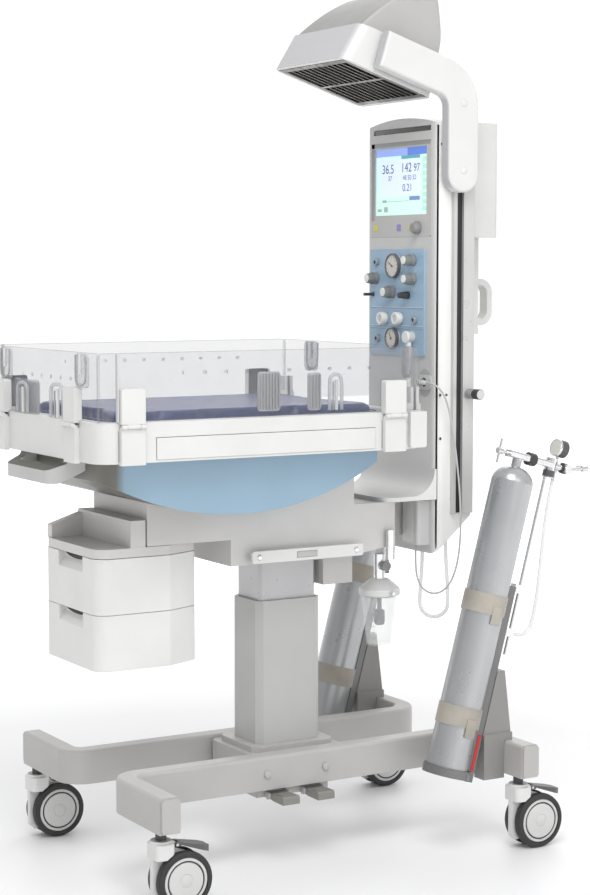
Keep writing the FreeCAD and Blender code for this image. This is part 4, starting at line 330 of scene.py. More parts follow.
@dataclass(frozen=True)
class Clear:
    """A clear plastic or glass whose rims are drawn darker and more solid as painted shade, and which turns
    hazier at grazing angles as painted reflection.
    """

    name: str
    colour: Colour
    body: float
    rim: float
    roughness: float = 0.05
    edge: float = 0.003
    blocks: Optional[tuple[str, float, float]] = None
    block_colour: Colour = (0.66, 0.66, 0.65)

    def material(self) -> bpy.types.Material:
        """Draw the clear material.

        Returns:
            The material.
        """
        sketch = Sketch(self.name)
        shader = sketch.shader
        normal, mask = sketch.edges(self.edge)
        smear = sketch.noise(14.0, 5.0)
        haze = sketch.ranged(smear, self.body * 0.94, self.body * 1.10)
        # Painted reflection: the surface turns hazier and more solid where it is seen at a grazing angle.
        grazing = sketch.add("ShaderNodeLayerWeight", Blend=0.35).outputs["Facing"]
        rimmed = sketch.math("MAXIMUM", sketch.math("MULTIPLY", mask, self.rim), haze)
        glance = sketch.math("MULTIPLY", sketch.ranged(grazing, 0.0, self.rim, 0.78, 1.0), 0.6)
        cover = sketch.math("MAXIMUM", rimmed, glance)
        # Painted shade: the rims are drawn darker, standing in for the refraction along clear edges.
        shade = tuple(c * 0.55 for c in self.colour)
        tone = sketch.blend(mask, self.colour, shade)
        polish = sketch.ranged(smear, self.roughness * 0.5, self.roughness * 2.0)
        if self.blocks is not None:
            side = sketch.beyond(*self.blocks)
            cover = sketch.math("MAXIMUM", cover, side)
            tone = sketch.blend(side, tone, self.block_colour)
            polish = sketch.math("MAXIMUM", polish, sketch.math("MULTIPLY", side, 0.34))
        sketch.link(cover, shader.inputs["Alpha"])
        sketch.link(tone, shader.inputs["Base Color"])
        sketch.link(polish, shader.inputs["Roughness"])
        sketch.link(normal, shader.inputs["Normal"])
        shader.inputs["IOR"].default_value = 1.49
        shader.inputs["Specular IOR Level"].default_value = 0.7
        return sketch.material


@dataclass(frozen=True)
class Weave:
    """Cloth or webbing, with threads both ways."""

    name: str
    colour: Colour
    threads: float
    depth: float
    roughness: float = 0.6
    sheen: float = 0.3
    coat: float = 0.0

    def material(self) -> bpy.types.Material:
        """Draw the cloth.

        Returns:
            The material.
        """
        sketch = Sketch(self.name)
        shader = sketch.shader
        heights = []
        for direction in ("X", "Y", "Z"):
            wave = sketch.add(
                "ShaderNodeTexWave", bands_direction=direction, Scale=self.threads, Distortion=0.6,
            )
            sketch.link(sketch.place(), wave.inputs["Vector"])
            heights.append(wave.outputs["Fac"])
        woven = sketch.math("MULTIPLY", sketch.math("MAXIMUM", heights[0], heights[2]), heights[1])
        fold = sketch.noise(9.0, 4.0)
        dark = tuple(c * 0.72 for c in self.colour)
        light = tuple(min(1.0, c * 1.18 + 0.01) for c in self.colour)
        tone = sketch.blend(sketch.ranged(fold, 0.0, 1.0), dark, light)
        tone = sketch.blend(sketch.ranged(woven, 0.25, 0.0, 0.0, 0.6), tone, dark)
        sketch.link(tone, shader.inputs["Base Color"])
        sketch.link(
            sketch.ranged(fold, self.roughness * 0.85, self.roughness * 1.15),
            shader.inputs["Roughness"],
        )
        shader.inputs["Sheen Weight"].default_value = self.sheen
        shader.inputs["Sheen Roughness"].default_value = 0.4
        shader.inputs["Coat Weight"].default_value = self.coat
        shader.inputs["Coat Roughness"].default_value = 0.18
        both = sketch.math("ADD", sketch.math("MULTIPLY", woven, 0.35), fold)
        sketch.bumps(both, self.depth)
        return sketch.material


@dataclass(frozen=True)
class Glow:
    """A lit part of the screen."""

    name: str
    colour: Colour
    strength: float = 0.50

    def material(self) -> bpy.types.Material:
        """Draw the lit surface with a faint dot pattern.

        Returns:
            The material.
        """
        sketch = Sketch(self.name)
        shader = sketch.shader
        dots = sketch.noise(420.0, 1.0)
        dark = tuple(c * 0.9 for c in self.colour)
        tone = sketch.blend(sketch.ranged(dots, 0.0, 1.0), dark, self.colour)
        sketch.link(tone, shader.inputs["Base Color"])
        sketch.link(tone, shader.inputs["Emission Color"])
        shader.inputs["Emission Strength"].default_value = self.strength
        shader.inputs["Roughness"].default_value = 0.25
        return sketch.material


class Look(enum.Enum):
    """The finishes that the warmer's pieces are given."""

    FRAME = Coat("frame paint", (0.47, 0.46, 0.445), 0.38)
    STAND = Coat("stand paint", (0.275, 0.27, 0.26), 0.40)
    CARRIER = Coat("carrier paint", (0.61, 0.60, 0.585), 0.38)
    COLUMN = Coat("column paint", (0.47, 0.47, 0.46), 0.36)
    COLUMN_TUBE = Coat("column tube", (0.52, 0.52, 0.53), 0.30, metallic=0.25)
    WHITE = Coat("white moulding", (0.66, 0.66, 0.65), 0.34)
    DRAWER = Coat("drawer moulding", (0.72, 0.72, 0.705), 0.36)
    # Painted shade: the console's faces that turn to the foot take the darker second colour.
    CONSOLE = Coat(
        "console moulding", (0.79, 0.79, 0.77), 0.42, second=(0.56, 0.56, 0.55),
        tilt=(TO_FOOT, 0.6, 0.95),
    )
    TRACK = Coat("track strip", (0.56, 0.56, 0.545), 0.30, metallic=0.2)
    # Painted shade: the dome's faces that turn to the foot take the dark second colour.
    DOME = Coat(
        "dome moulding", (0.39, 0.385, 0.375), 0.40, second=(0.165, 0.165, 0.16),
        tilt=(TO_FOOT, 0.35, 0.85),
    )
    GAS_BLUE = Coat("gas panel paint", (0.32, 0.47, 0.61), 0.34)
    # Painted shade: the keel's faces that turn to the foot and downwards take a dark brownish grey.
    KEEL_BLUE = Coat(
        "keel paint", (0.26, 0.385, 0.49), 0.34, second=(0.15, 0.145, 0.125),
        tilt=((0.0, -0.9, -0.45), 0.30, 0.55),
    )
    GREY = Coat("grey moulding", (0.36, 0.36, 0.36), 0.42)
    PALE_GREY = Coat("pale grey moulding", (0.58, 0.58, 0.58), 0.36)
    DARK = Coat("dark moulding", (0.045, 0.045, 0.047), 0.42, wear=0.12)
    SLOT = Coat("slot shade", (0.02, 0.02, 0.022), 0.6, wear=0.05)
    KNOB = Coat("knob moulding", (0.24, 0.25, 0.25), 0.40)
    IVORY = Coat("ivory collar", (0.80, 0.80, 0.76), 0.35)
    PEDAL = Coat("pedal moulding", (0.24, 0.235, 0.215), 0.48)
    # Painted shadow: the handle's upward faces, which lie under the tray, take a dark olive colour.
    HANDLE = Coat(
        "push handle moulding", (0.48, 0.48, 0.47), 0.42, second=(0.085, 0.085, 0.070),
        tilt=(UPWARDS, 0.35, 0.75),
    )
    CYLINDER = Coat("cylinder silver", (0.46, 0.47, 0.48), 0.30, metallic=0.65, depth=0.0002, grain=500.0)
    RACK = Coat("rack paint", (0.20, 0.20, 0.20), 0.34, metallic=0.4)
    TYRE = Coat("tyre rubber", (0.028, 0.028, 0.030), 0.55, grain=1400.0, depth=0.0002, wear=0.15)
    WHEEL = Coat("wheel disc", (0.64, 0.64, 0.63), 0.35)
    CASTER = Coat(
        "caster housing", (0.72, 0.72, 0.71), 0.36, second=(0.06, 0.06, 0.06),
        split=("Z", 0.1497, 0.1502),
    )
    RED = Coat("red tag", (0.62, 0.03, 0.03), 0.5)
    YELLOW = Coat("yellow key", (0.62, 0.60, 0.10), 0.4)
    PURPLE = Coat("violet key", (0.26, 0.22, 0.52), 0.4)
    CORD = Coat("cable sheath", (0.50, 0.50, 0.50), 0.48, grain=1500.0)
    CHROME = Bright("bright plating", (0.78, 0.78, 0.79))
    RAIL = Coat("rail enamel", (0.70, 0.70, 0.68), 0.32)
    GRILLE = Bright("grille wire", (0.19, 0.18, 0.17), 0.34, (12.0, 1.0, 12.0), 0.00003)
    HEATER = Bright("heater reflector", (0.42, 0.38, 0.32), 0.30, (12.0, 1.0, 12.0), 0.00004)
    # The clear walls' darker rims are painted shade and their grazing haze is painted reflection, both drawn
    # by Clear.
    WALL = Clear("clear wall", (0.34, 0.35, 0.38), 0.115, 0.70)
    WALL_NEAR = Clear("clear near wall", (0.34, 0.35, 0.38), 0.115, 0.70, blocks=("X", 0.2941, 0.2943))
    WALL_FAR = Clear("clear far wall", (0.34, 0.35, 0.38), 0.115, 0.70, blocks=("X", -0.2941, -0.2943))
    WALL_FRONT = Clear("clear front wall", (0.34, 0.35, 0.38), 0.115, 0.70, blocks=("Y", -0.5691, -0.5693))
    JAR = Clear("clear jar", (0.86, 0.88, 0.88), 0.20, 0.75, edge=0.002)
    HOSE = Clear("clear hose", (0.80, 0.81, 0.81), 0.62, 0.85, 0.12)
    PAD = Weave("pad cover", (0.017, 0.032, 0.150), 260.0, 0.0005, 0.40, 0.03, 0.27)
    STRAP = Weave("strap webbing", (0.40, 0.37, 0.32), 190.0, 0.0004, 0.72, 0.3)
    SCREEN = Glow("screen ground", (0.60, 0.82, 0.88))
    SCREEN_BAR = Glow("screen bar", (0.10, 0.20, 0.62))
    SCREEN_BAR_LIGHT = Glow("screen bar light", (0.28, 0.38, 0.78))
    SCREEN_KEYS = Glow("screen keys", (0.36, 0.74, 0.55))
    SCREEN_LOW = Glow("screen lower field", (0.58, 0.82, 0.74))
    SCREEN_INK = Glow("screen figures", (0.08, 0.12, 0.30), 0.25)
    # Painted shade: the hood's faces that turn to the foot take the darker second colour.
    HOOD = Coat(
        "hood moulding", (0.645, 0.645, 0.635), 0.34, second=(0.44, 0.44, 0.46),
        tilt=(TO_FOOT, 0.55, 0.90),
    )
    REAR = Coat("rear box moulding", (0.60, 0.60, 0.585), 0.34)
    BEZEL = Coat("display frame", (0.50, 0.50, 0.49), 0.36)
    BEZEL_DARK = Coat("display frame shade", (0.30, 0.31, 0.30), 0.36)
    DIAL = Coat("dial moulding", (0.26, 0.25, 0.26), 0.38)
    DIAL_PLATE = Coat("dial plate", (0.42, 0.38, 0.62), 0.4)
    BRAKE = Coat("brake moulding", (0.10, 0.10, 0.105), 0.42)
    MARK = Coat("printed mark", (0.10, 0.10, 0.11), 0.5, wear=0.05)
    LINE = Coat("printed line", (0.72, 0.80, 0.86), 0.45, wear=0.05)
    LENS = Coat("lamp lens", (0.055, 0.055, 0.055), 0.16, coat=0.6)
    PORT = Coat("port collar", (0.34, 0.38, 0.42), 0.34, metallic=0.4)
    PLATE = Coat("blank plate", (0.46, 0.47, 0.47), 0.34, metallic=0.3)
    GAUGE_RIM = Coat("gauge rim", (0.12, 0.12, 0.13), 0.30)
    GAUGE_FACE = Coat("gauge face", (0.60, 0.59, 0.54), 0.30, coat=0.5)
    GAUGE_CASE = Coat("gauge case", (0.075, 0.08, 0.085), 0.34)
    # Painted shade of the socket's oval recess.
    DISH = Coat("socket recess shade", (0.42, 0.42, 0.42), 0.42)
    HOLDER = Coat("tube holder moulding", (0.34, 0.34, 0.35), 0.40)
    CLIP = Clear("clear rod", (0.52, 0.53, 0.56), 0.50, 0.90, edge=0.002)
    CLIP_GREY = Clear("clear clip", (0.50, 0.51, 0.54), 0.42, 0.90, edge=0.002)
    SCREEN_PALE = Glow("screen window", (0.66, 0.76, 0.90))
    SCREEN_TAB = Glow("screen tab", (0.10, 0.34, 0.42))
    SCREEN_BUTTON = Glow("screen button", (0.14, 0.24, 0.46))
    SCREEN_GREY = Glow("screen grey", (0.26, 0.38, 0.34))

    def material(self) -> bpy.types.Material:
        """Give the finish's material, drawn once."""
        found = bpy.data.materials.get(self.value.name)
        return found or self.value.material()


# Making pieces

def finish_mesh(name: str, shape: bmesh.types.BMesh, look: Look, body: str) -> bpy.types.Object:
    """Turn a built mesh into a piece.

    Args:
        name: The piece's name.
        shape: The mesh, which is freed.
        look: Its finish.
        body: The CAD body that it rides on.

    Returns:
        The new object.
    """
    bmesh.ops.remove_doubles(shape, verts=shape.verts, dist=1e-6)
    bmesh.ops.recalc_face_normals(shape, faces=shape.faces)
    for face in shape.faces:
        face.smooth = True
    for edge in shape.edges:
        edge.smooth = len(edge.link_faces) == 2 and edge.calc_face_angle(0.0) < math.radians(32)
    mesh = bpy.data.meshes.new(name)
    shape.to_mesh(mesh)
    shape.free()
    piece = bpy.data.objects.new(name, mesh)
    bpy.context.collection.objects.link(piece)
    return dress(piece, look, body)


def dress(piece: bpy.types.Object, look: Look, body: str) -> bpy.types.Object:
    """Give a piece its finish, body and slot.

    Args:
        piece: The object.
        look: Its finish.
        body: The CAD body that it rides on.

    Returns:
        The same object.
    """
    piece.data.materials.clear()
    piece.data.materials.append(look.material())
    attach(piece, body)
    return piece


def turned_to(axis: Point) -> Matrix:
    """Give the turn that takes +Z to an axis."""
    return Vector(UPWARDS).rotation_difference(Vector(axis).normalized()).to_matrix().to_4x4()


def add_lathe(
    shape: bmesh.types.BMesh, profile: Sequence[tuple[float, float]], start: Point, axis: Point,
    sides: int = 48,
) -> None:
    """Turn a closed outline about an axis.

    Args:
        shape: The mesh that it is added to.
        profile: Radius and distance along the axis, from one end to the other.
        start: Where the axis starts.
        axis: Its direction.
        sides: Steps in a full turn.
    """
    place = Matrix.Translation(Vector(start)) @ turned_to(axis)
    rings = []
    for radius, along in profile:
        if radius < 1e-7:
            rings.append([shape.verts.new(place @ Vector((0.0, 0.0, along)))])
            continue
        ring = []
        for i in range(sides):
            angle = 2.0 * math.pi * i / sides
            point = Vector((radius * math.cos(angle), radius * math.sin(angle), along))
            ring.append(shape.verts.new(place @ point))
        rings.append(ring)
    for low, high in zip(rings, rings[1:]):
        for i in range(sides):
            j = (i + 1) % sides
            corners = [low[i % len(low)], low[j % len(low)], high[j % len(high)], high[i % len(high)]]
            unique = list(dict.fromkeys(corners))
            if len(unique) > 2:
                shape.faces.new(unique)


def round_outline(radius: float, length: float, soft: float) -> list[tuple[float, float]]:
    """Give the outline of a short round bar with softened ends.

    Args:
        radius: Its radius.
        length: Its length.
        soft: The rounding of its ends.

    Returns:
        Radius and distance pairs for add_lathe.
    """
    turns = (0.0, 0.39, 0.79, 1.18, 1.571)
    bend = [(radius - soft + soft * math.sin(a), soft - soft * math.cos(a)) for a in turns]
    far = [(r, length - z) for r, z in reversed(bend)]
    return [(0.0, 0.0)] + bend + far + [(0.0, length)]


def add_block(
    shape: bmesh.types.BMesh, low: Point, high: Point, soft: float, place: Optional[Matrix] = None,
) -> None:
    """Add a block with rounded edges.

    Args:
        shape: The mesh that it is added to.
        low: Its lowest corner.
        high: Its highest corner.
        soft: The rounding of its edges.
        place: A move for the finished block.
    """
    part = bmesh.new()
    bmesh.ops.create_cube(part, size=1.0)
    size = Vector(high) - Vector(low)
    middle = (Vector(high) + Vector(low)) / 2.0
    bmesh.ops.scale(part, vec=size, verts=part.verts)
    bmesh.ops.translate(part, vec=middle, verts=part.verts)
    if soft > 0.0:
        bmesh.ops.bevel(part, geom=part.edges[:], offset=soft, segments=3, profile=0.5, affect="EDGES")
    if place is not None:
        bmesh.ops.transform(part, matrix=place, verts=part.verts)
    join(shape, part)


def join(shape: bmesh.types.BMesh, part: bmesh.types.BMesh) -> None:
    """Copy one mesh into another and free it.

    Args:
        shape: The mesh that grows.
        part: The mesh that is added.
    """
    carrier = bpy.data.meshes.new("carrier")
    part.to_mesh(carrier)
    part.free()
    shape.from_mesh(carrier)
    bpy.data.meshes.remove(carrier)


def add_plate(
    shape: bmesh.types.BMesh, outline: Sequence[tuple[float, float]], thick: float, soft: float,
    place: Matrix,
) -> None:
    """Add a flat plate of any outline with rounded rims.

    Args:
        shape: The mesh that it is added to.
        outline: Its points in its own plane.
        thick: Its thickness along its own +Z.
        soft: The rounding of its rims.
        place: Where its own frame lies.
    """
    part = bmesh.new()
    low = [part.verts.new((x, y, 0.0)) for x, y in outline]
    high = [part.verts.new((x, y, thick)) for x, y in outline]
    part.faces.new(list(reversed(low)))
    part.faces.new(high)
    for i, corner in enumerate(low):
        j = (i + 1) % len(low)
        part.faces.new([corner, low[j], high[j], high[i]])
    if soft > 0.0:
        rims = [e for e in part.edges if abs(e.verts[0].co.z - e.verts[1].co.z) < 1e-6]
        bmesh.ops.bevel(part, geom=rims, offset=soft, segments=2, profile=0.5, affect="EDGES")
    bmesh.ops.transform(part, matrix=place, verts=part.verts)
    join(shape, part)


def rounded_outline(
    half_x: float, half_y: float, radius: float, steps: int = 6,
) -> list[tuple[float, float]]:
    """Give a rectangle with round corners.

    Args:
        half_x: Half its width.
        half_y: Half its height.
        radius: Its corner radius.
        steps: Points in each corner, less one.

    Returns:
        The points in order.
    """
    points = []
    for turn, (sx, sy) in enumerate(((1, 1), (-1, 1), (-1, -1), (1, -1))):
        for i in range(steps + 1):
            angle = QUARTER_TURN * (turn + i / steps)
            points.append((
                sx * (half_x - radius) + radius * math.cos(angle),
                sy * (half_y - radius) + radius * math.sin(angle),
            ))
    return points


def facing_front(x: float, y: float, z: float) -> Matrix:
    """Place a flat frame on the console's front: its +Z points to -Y and its +Y up."""
    return Matrix.Translation((x, y, z)) @ Matrix.Rotation(QUARTER_TURN, 4, "X")


def sweep(
    name: str, points: Sequence[Point], radius: float, look: Look, body: str,
    steps: int = 10, sides: int = 5,
) -> bpy.types.Object:
    """Make a smooth tube along points.

    Args:
        name: The piece's name.
        points: The control points of its line.
        radius: Its radius.
        look: Its finish.
        body: The CAD body that it rides on.
        steps: Steps between two control points.
        sides: How round its section is.

    Returns:
        The curve object.
    """
    curve = bpy.data.curves.new(name, "CURVE")
    curve.dimensions = "3D"
    spline = curve.splines.new("NURBS")
    spline.points.add(len(points) - 1)
    for control, point in zip(spline.points, points):
        control.co = (*point, 1.0)
    spline.order_u = 3
    spline.use_endpoint_u = True
    curve.resolution_u = steps
    curve.bevel_depth = radius
    curve.bevel_resolution = sides
    curve.use_fill_caps = True
    piece = bpy.data.objects.new(name, curve)
    bpy.context.collection.objects.link(piece)
    return dress(piece, look, body)


def figures(
    name: str, words: str, size: float, x: float, z: float, y: float, look: Look, body: str,
) -> bpy.types.Object:
    """Set plain numbers on a face.

    Args:
        name: The piece's name.
        words: The numbers.
        size: Their height.
        x: The middle of the line, across.
        z: Its base line.
        y: The face that they lie on.
        look: Their finish.
        body: The CAD body that they ride on.

    Returns:
        The text object.
    """
    text = bpy.data.curves.new(name, "FONT")
    text.body = words
    text.size = size
    text.align_x = "CENTER"
    text.extrude = 0.00008
    piece = bpy.data.objects.new(name, text)
    bpy.context.collection.objects.link(piece)
    piece.matrix_world = facing_front(x, y, z)
    return dress(piece, look, body)


def add_figures(shape: bmesh.types.BMesh, words: str, size: float, place: Matrix) -> None:
    """Add plain numbers to a mesh.

    Args:
        shape: The mesh that they are added to.
        words: The numbers.
        size: Their height.
        place: Where the middle of their base line lies.
    """
    curve = bpy.data.curves.new("numbers", "FONT")
    curve.body = words
    curve.size = size
    curve.align_x = "CENTER"
    curve.extrude = 0.00008
    text = bpy.data.objects.new("numbers", curve)
    bpy.context.collection.objects.link(text)
    mesh = bpy.data.meshes.new_from_object(text.evaluated_get(bpy.context.evaluated_depsgraph_get()))
    mesh.transform(place)
    shape.from_mesh(mesh)
    bpy.data.objects.remove(text)
    bpy.data.curves.remove(curve)
    bpy.data.meshes.remove(mesh)


# The studio

@dataclass
class Studio:
    """The camera, the pale floor and the soft lights."""

    place: Point = (3.9568, -2.2672, 1.3145)
    azimuth: float = 59.564
    pitch: float = 5.018
    focal_pixels: float = 2017.2
    sensor: float = 36.0
    floor_half: float = 14.0
    room_level: float = 0.60
    room: tuple[tuple[Point, float], ...] = (
        ((-0.862, 0.506, 0.0), 0.46), (TO_NEAR, 0.16), (TO_FOOT, -0.16), (UPWARDS, 0.20),
    )
    lamps: tuple[tuple[str, Point, float, float], ...] = (
        ("key", (2.4, -1.2, 4.2), 2.2, 90.0),
        ("side", (4.2, 0.6, 2.6), 2.2, 20.0),
        ("back", (-2.4, 2.8, 3.2), 2.4, 20.0),
    )

    def camera(self) -> None:
        """Set the camera at the photograph's angle."""
        data = bpy.data.cameras.new("photo view")
        data.sensor_fit = "VERTICAL"
        data.sensor_height = self.sensor
        data.lens = self.sensor * self.focal_pixels / PHOTO_HEIGHT
        data.clip_end = 60.0
        camera = bpy.data.objects.new("photo view", data)
        bpy.context.collection.objects.link(camera)
        turn = math.radians(self.azimuth)
        dip = math.radians(self.pitch)
        ahead = Vector((-math.sin(turn) * math.cos(dip), math.cos(turn) * math.cos(dip), -math.sin(dip)))
        camera.location = self.place
        camera.rotation_euler = ahead.to_track_quat("-Z", "Y").to_euler()
        bpy.context.scene.camera = camera

    def floor(self) -> None:
        """Lay a pale floor that turns white with distance."""
        shape = bmesh.new()
        bmesh.ops.create_grid(shape, x_segments=4, y_segments=4, size=self.floor_half)
        mesh = bpy.data.meshes.new("floor")
        shape.to_mesh(mesh)
        shape.free()
        floor = bpy.data.objects.new("floor", mesh)
        bpy.context.collection.objects.link(floor)
        sketch = Sketch("floor")
        reach = sketch.add("ShaderNodeVectorMath", operation="LENGTH")
        sketch.link(sketch.place(), reach.inputs[0])
        far = sketch.ranged(reach.outputs["Value"], 0.0, 1.0, 1.4, 4.2)
        sketch.link(
            sketch.blend(far, (0.88, 0.88, 0.89), (0.95, 0.95, 0.95)),
            sketch.shader.inputs["Base Color"],
        )
        sketch.link(sketch.ranged(sketch.noise(3.0, 3.0), 0.42, 0.55), sketch.shader.inputs["Roughness"])
        sketch.shader.inputs["Emission Color"].default_value = (1.0, 1.0, 1.0, 1.0)
        sketch.link(sketch.math("MULTIPLY", far, 0.55), sketch.shader.inputs["Emission Strength"])
        floor.data.materials.append(sketch.material)

    def lights(self) -> None:
        """Hang large soft lights in a room that shows white behind the object."""
        world = bpy.data.worlds.new("white room")
        bpy.context.scene.world = world
        world.use_nodes = True
        ground = world.node_tree.nodes["Background"]
        ground.inputs["Color"].default_value = (1.0, 1.0, 1.0, 1.0)
        nodes = world.node_tree.nodes
        links = world.node_tree.links
        level = None
        for way, share in self.room:
            dot = nodes.new("ShaderNodeVectorMath")
            dot.operation = "DOT_PRODUCT"
            links.new(nodes.new("ShaderNodeTexCoord").outputs["Generated"], dot.inputs[0])
            dot.inputs[1].default_value = way
            part = nodes.new("ShaderNodeMath")
            part.operation = "MAXIMUM"
            links.new(dot.outputs["Value"], part.inputs[0])
            part.inputs[1].default_value = 0.0
            total = nodes.new("ShaderNodeMath")
            total.operation = "MULTIPLY_ADD"
            links.new(part.outputs[0], total.inputs[0])
            total.inputs[1].default_value = share
            total.inputs[2].default_value = self.room_level
            if level is not None:
                links.new(level, total.inputs[2])
            level = total.outputs[0]
        backdrop = nodes.new("ShaderNodeMath")
        backdrop.operation = "MAXIMUM"
        links.new(level, backdrop.inputs[0])
        links.new(nodes.new("ShaderNodeLightPath").outputs["Is Camera Ray"], backdrop.inputs[1])
        links.new(backdrop.outputs[0], ground.inputs["Strength"])
        for name, place, size, power in self.lamps:
            data = bpy.data.lights.new(name, "AREA")
            data.size = size
            data.energy = power
            light = bpy.data.objects.new(name, data)
            bpy.context.collection.objects.link(light)
            light.location = place
            ahead = Vector((0.0, 0.0, 0.9)) - Vector(place)
            light.rotation_euler = ahead.to_track_quat("-Z", "Y").to_euler()

    def build(self) -> None:
        """Set up the whole studio."""
        self.camera()
        self.floor()
        self.lights()
        view = bpy.context.scene.view_settings
        view.view_transform = "Standard"


# Cords

@dataclass
class Cords:
    """The sensor cable and the two clear hoses, each held at both ends."""

    probe: tuple[Point, ...] = (
        (0.094, 0.327, 0.683), (0.094, 0.327, 0.640), (0.098, 0.328, 0.604), (0.114, 0.332, 0.580),
        (0.140, 0.343, 0.569), (0.160, 0.360, 0.577), (0.169, 0.378, 0.602), (0.172, 0.392, 0.645),
        (0.172, 0.399, 0.700), (0.172, 0.399, 0.760), (0.172, 0.395, 0.820), (0.172, 0.387, 0.880),
        (0.173, 0.377, 0.940), (0.174, 0.365, 0.995), (0.171, 0.350, 1.036), (0.160, 0.337, 1.053),
        (0.148, 0.330, 1.058), (0.129, 0.330, 1.058),
    )
    probe_thick: float = 0.0045
    probe_length: float = 0.693
    breathing: tuple[Point, ...] = (
        (0.070, 0.362, 0.665480), (0.070, 0.362, 0.632), (0.068, 0.360, 0.597), (0.067, 0.358, 0.558),
        (0.067, 0.358, 0.525), (0.080, 0.372, 0.506), (0.098, 0.392, 0.506), (0.112, 0.406, 0.525),
        (0.112, 0.406, 0.556), (0.111, 0.405, 0.592), (0.109, 0.403, 0.630), (0.108, 0.402, 0.666),
        (0.108, 0.402, 0.700173),
    )
    breathing_length: float = 0.392
    hose_thick: float = 0.009
    regulator: tuple[tuple[float, float], ...] = (
        (0.112, 0.700), (0.112, 0.662), (0.117, 0.608), (0.125, 0.548), (0.134, 0.490), (0.141, 0.440),
        (0.144, 0.398), (0.144, 0.362), (0.135, 0.344), (0.117, 0.334), (0.097, 0.334),
    )
    regulator_length: float = 0.399

    def build(self) -> None:
        """Run the cords along their routes."""
        probe = sweep("probe_lead", self.probe, self.probe_thick / 2.0, Look.CORD, "lift")
        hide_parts("probe_cable")
        breathing = sweep(
            "outlet_hose", self.breathing, self.hose_thick / 2.0, Look.HOSE, "lift",
        )
        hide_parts("breathing_hose")
        route = [leaning(0.0, y, z) for y, z in self.regulator]
        hose = sweep("cylinder_hose", route, self.hose_thick / 2.0, Look.HOSE, "base")
        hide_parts("regulator_hose")


CYLINDER_X = 0.270
CYLINDER_Y = 0.295
CYLINDER_Z = 0.188
CYLINDER_LEAN = math.radians(15.3)
LEAN_TURN = Matrix.Rotation(-CYLINDER_LEAN, 4, "X")


def leaning(x: float, y: float, z: float, side: int = 1) -> Point:
    """Give a point of the leaning cylinder's own frame.

    Args:
        x: Across, from the cylinder's axis.
        y: Towards the rack.
        z: Up the cylinder.
        side: 1 for the near cylinder, -1 for the far one.

    Returns:
        The point in the row's frame.
    """
    back = y * math.cos(CYLINDER_LEAN) + z * math.sin(CYLINDER_LEAN)
    rise = -y * math.sin(CYLINDER_LEAN) + z * math.cos(CYLINDER_LEAN)
    return (side * (CYLINDER_X + x), CYLINDER_Y + back, CYLINDER_Z + rise)


# Finishes of the CAD pieces

NODE_LOOKS: dict[str, Look] = {
    "base_rails": Look.FRAME, "column_plinth": Look.FRAME, "column_outer": Look.COLUMN,
    "cylinder_stands": Look.STAND, "cylinder_racks": Look.RACK, "gas_cylinders": Look.CYLINDER,
    "cylinder_straps": Look.STRAP, "cylinder_regulators": Look.CHROME,
    "yoke_handle_near": Look.CHROME, "yoke_handle_far": Look.CHROME,
    "pedal_up": Look.PEDAL, "pedal_down": Look.PEDAL, "column_inner": Look.COLUMN_TUBE,
    "carrier_beam": Look.CARRIER, "accessory_rail": Look.RAIL, "console_shell": Look.CONSOLE,
    "console_tracks": Look.TRACK, "display_unit": Look.BEZEL, "gas_panel": Look.GAS_BLUE,
    "console_fittings": Look.PALE_GREY, "suction_unit": Look.CHROME, "suction_jar": Look.JAR,
    "rear_fittings": Look.REAR, "hood_housing": Look.HOOD, "hood_grille": Look.GRILLE,
    "hood_dome": Look.DOME, "heater_unit": Look.HEATER, "drawer_upper": Look.DRAWER,
    "drawer_lower": Look.DRAWER, "display_knob": Look.DIAL, "knob_flow": Look.KNOB,
    "knob_pressure": Look.KNOB, "knob_blend": Look.KNOB, "knob_suction": Look.KNOB,
    "knob_relief": Look.DARK, "gas_toggle": Look.DARK, "bed_keel": Look.KEEL_BLUE,
    "bed_tray": Look.WHITE, "cassette_tray": Look.WHITE, "mattress": Look.PAD,
    "push_handle": Look.HANDLE, "panel_near": Look.WALL_NEAR, "panel_far": Look.WALL_FAR,
    "panel_front": Look.WALL_FRONT, "panel_rear": Look.WALL,
}
CORNER_LOOKS: dict[str, Look] = {
    "caster_fork_": Look.CASTER, "caster_wheels_": Look.TYRE, "caster_brake_": Look.BRAKE,
}


@dataclass
class Dressing:
    """The finishes of the CAD pieces that show as they are."""

    def look_of(self, node: str) -> Optional[Look]:
        """Find a node's finish.

        Args:
            node: The CAD node's name.

        Returns:
            Its finish, or None for a cord, which is made anew.
        """
        for start, look in CORNER_LOOKS.items():
            if node.startswith(start):
                return look
        return NODE_LOOKS.get(node)

    def build(self) -> None:
        """Put the finishes on."""
        for node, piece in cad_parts.items():
            look = self.look_of(node)
            if look is not None:
                piece.data.materials.clear()
                piece.data.materials.append(look.material())


# The base

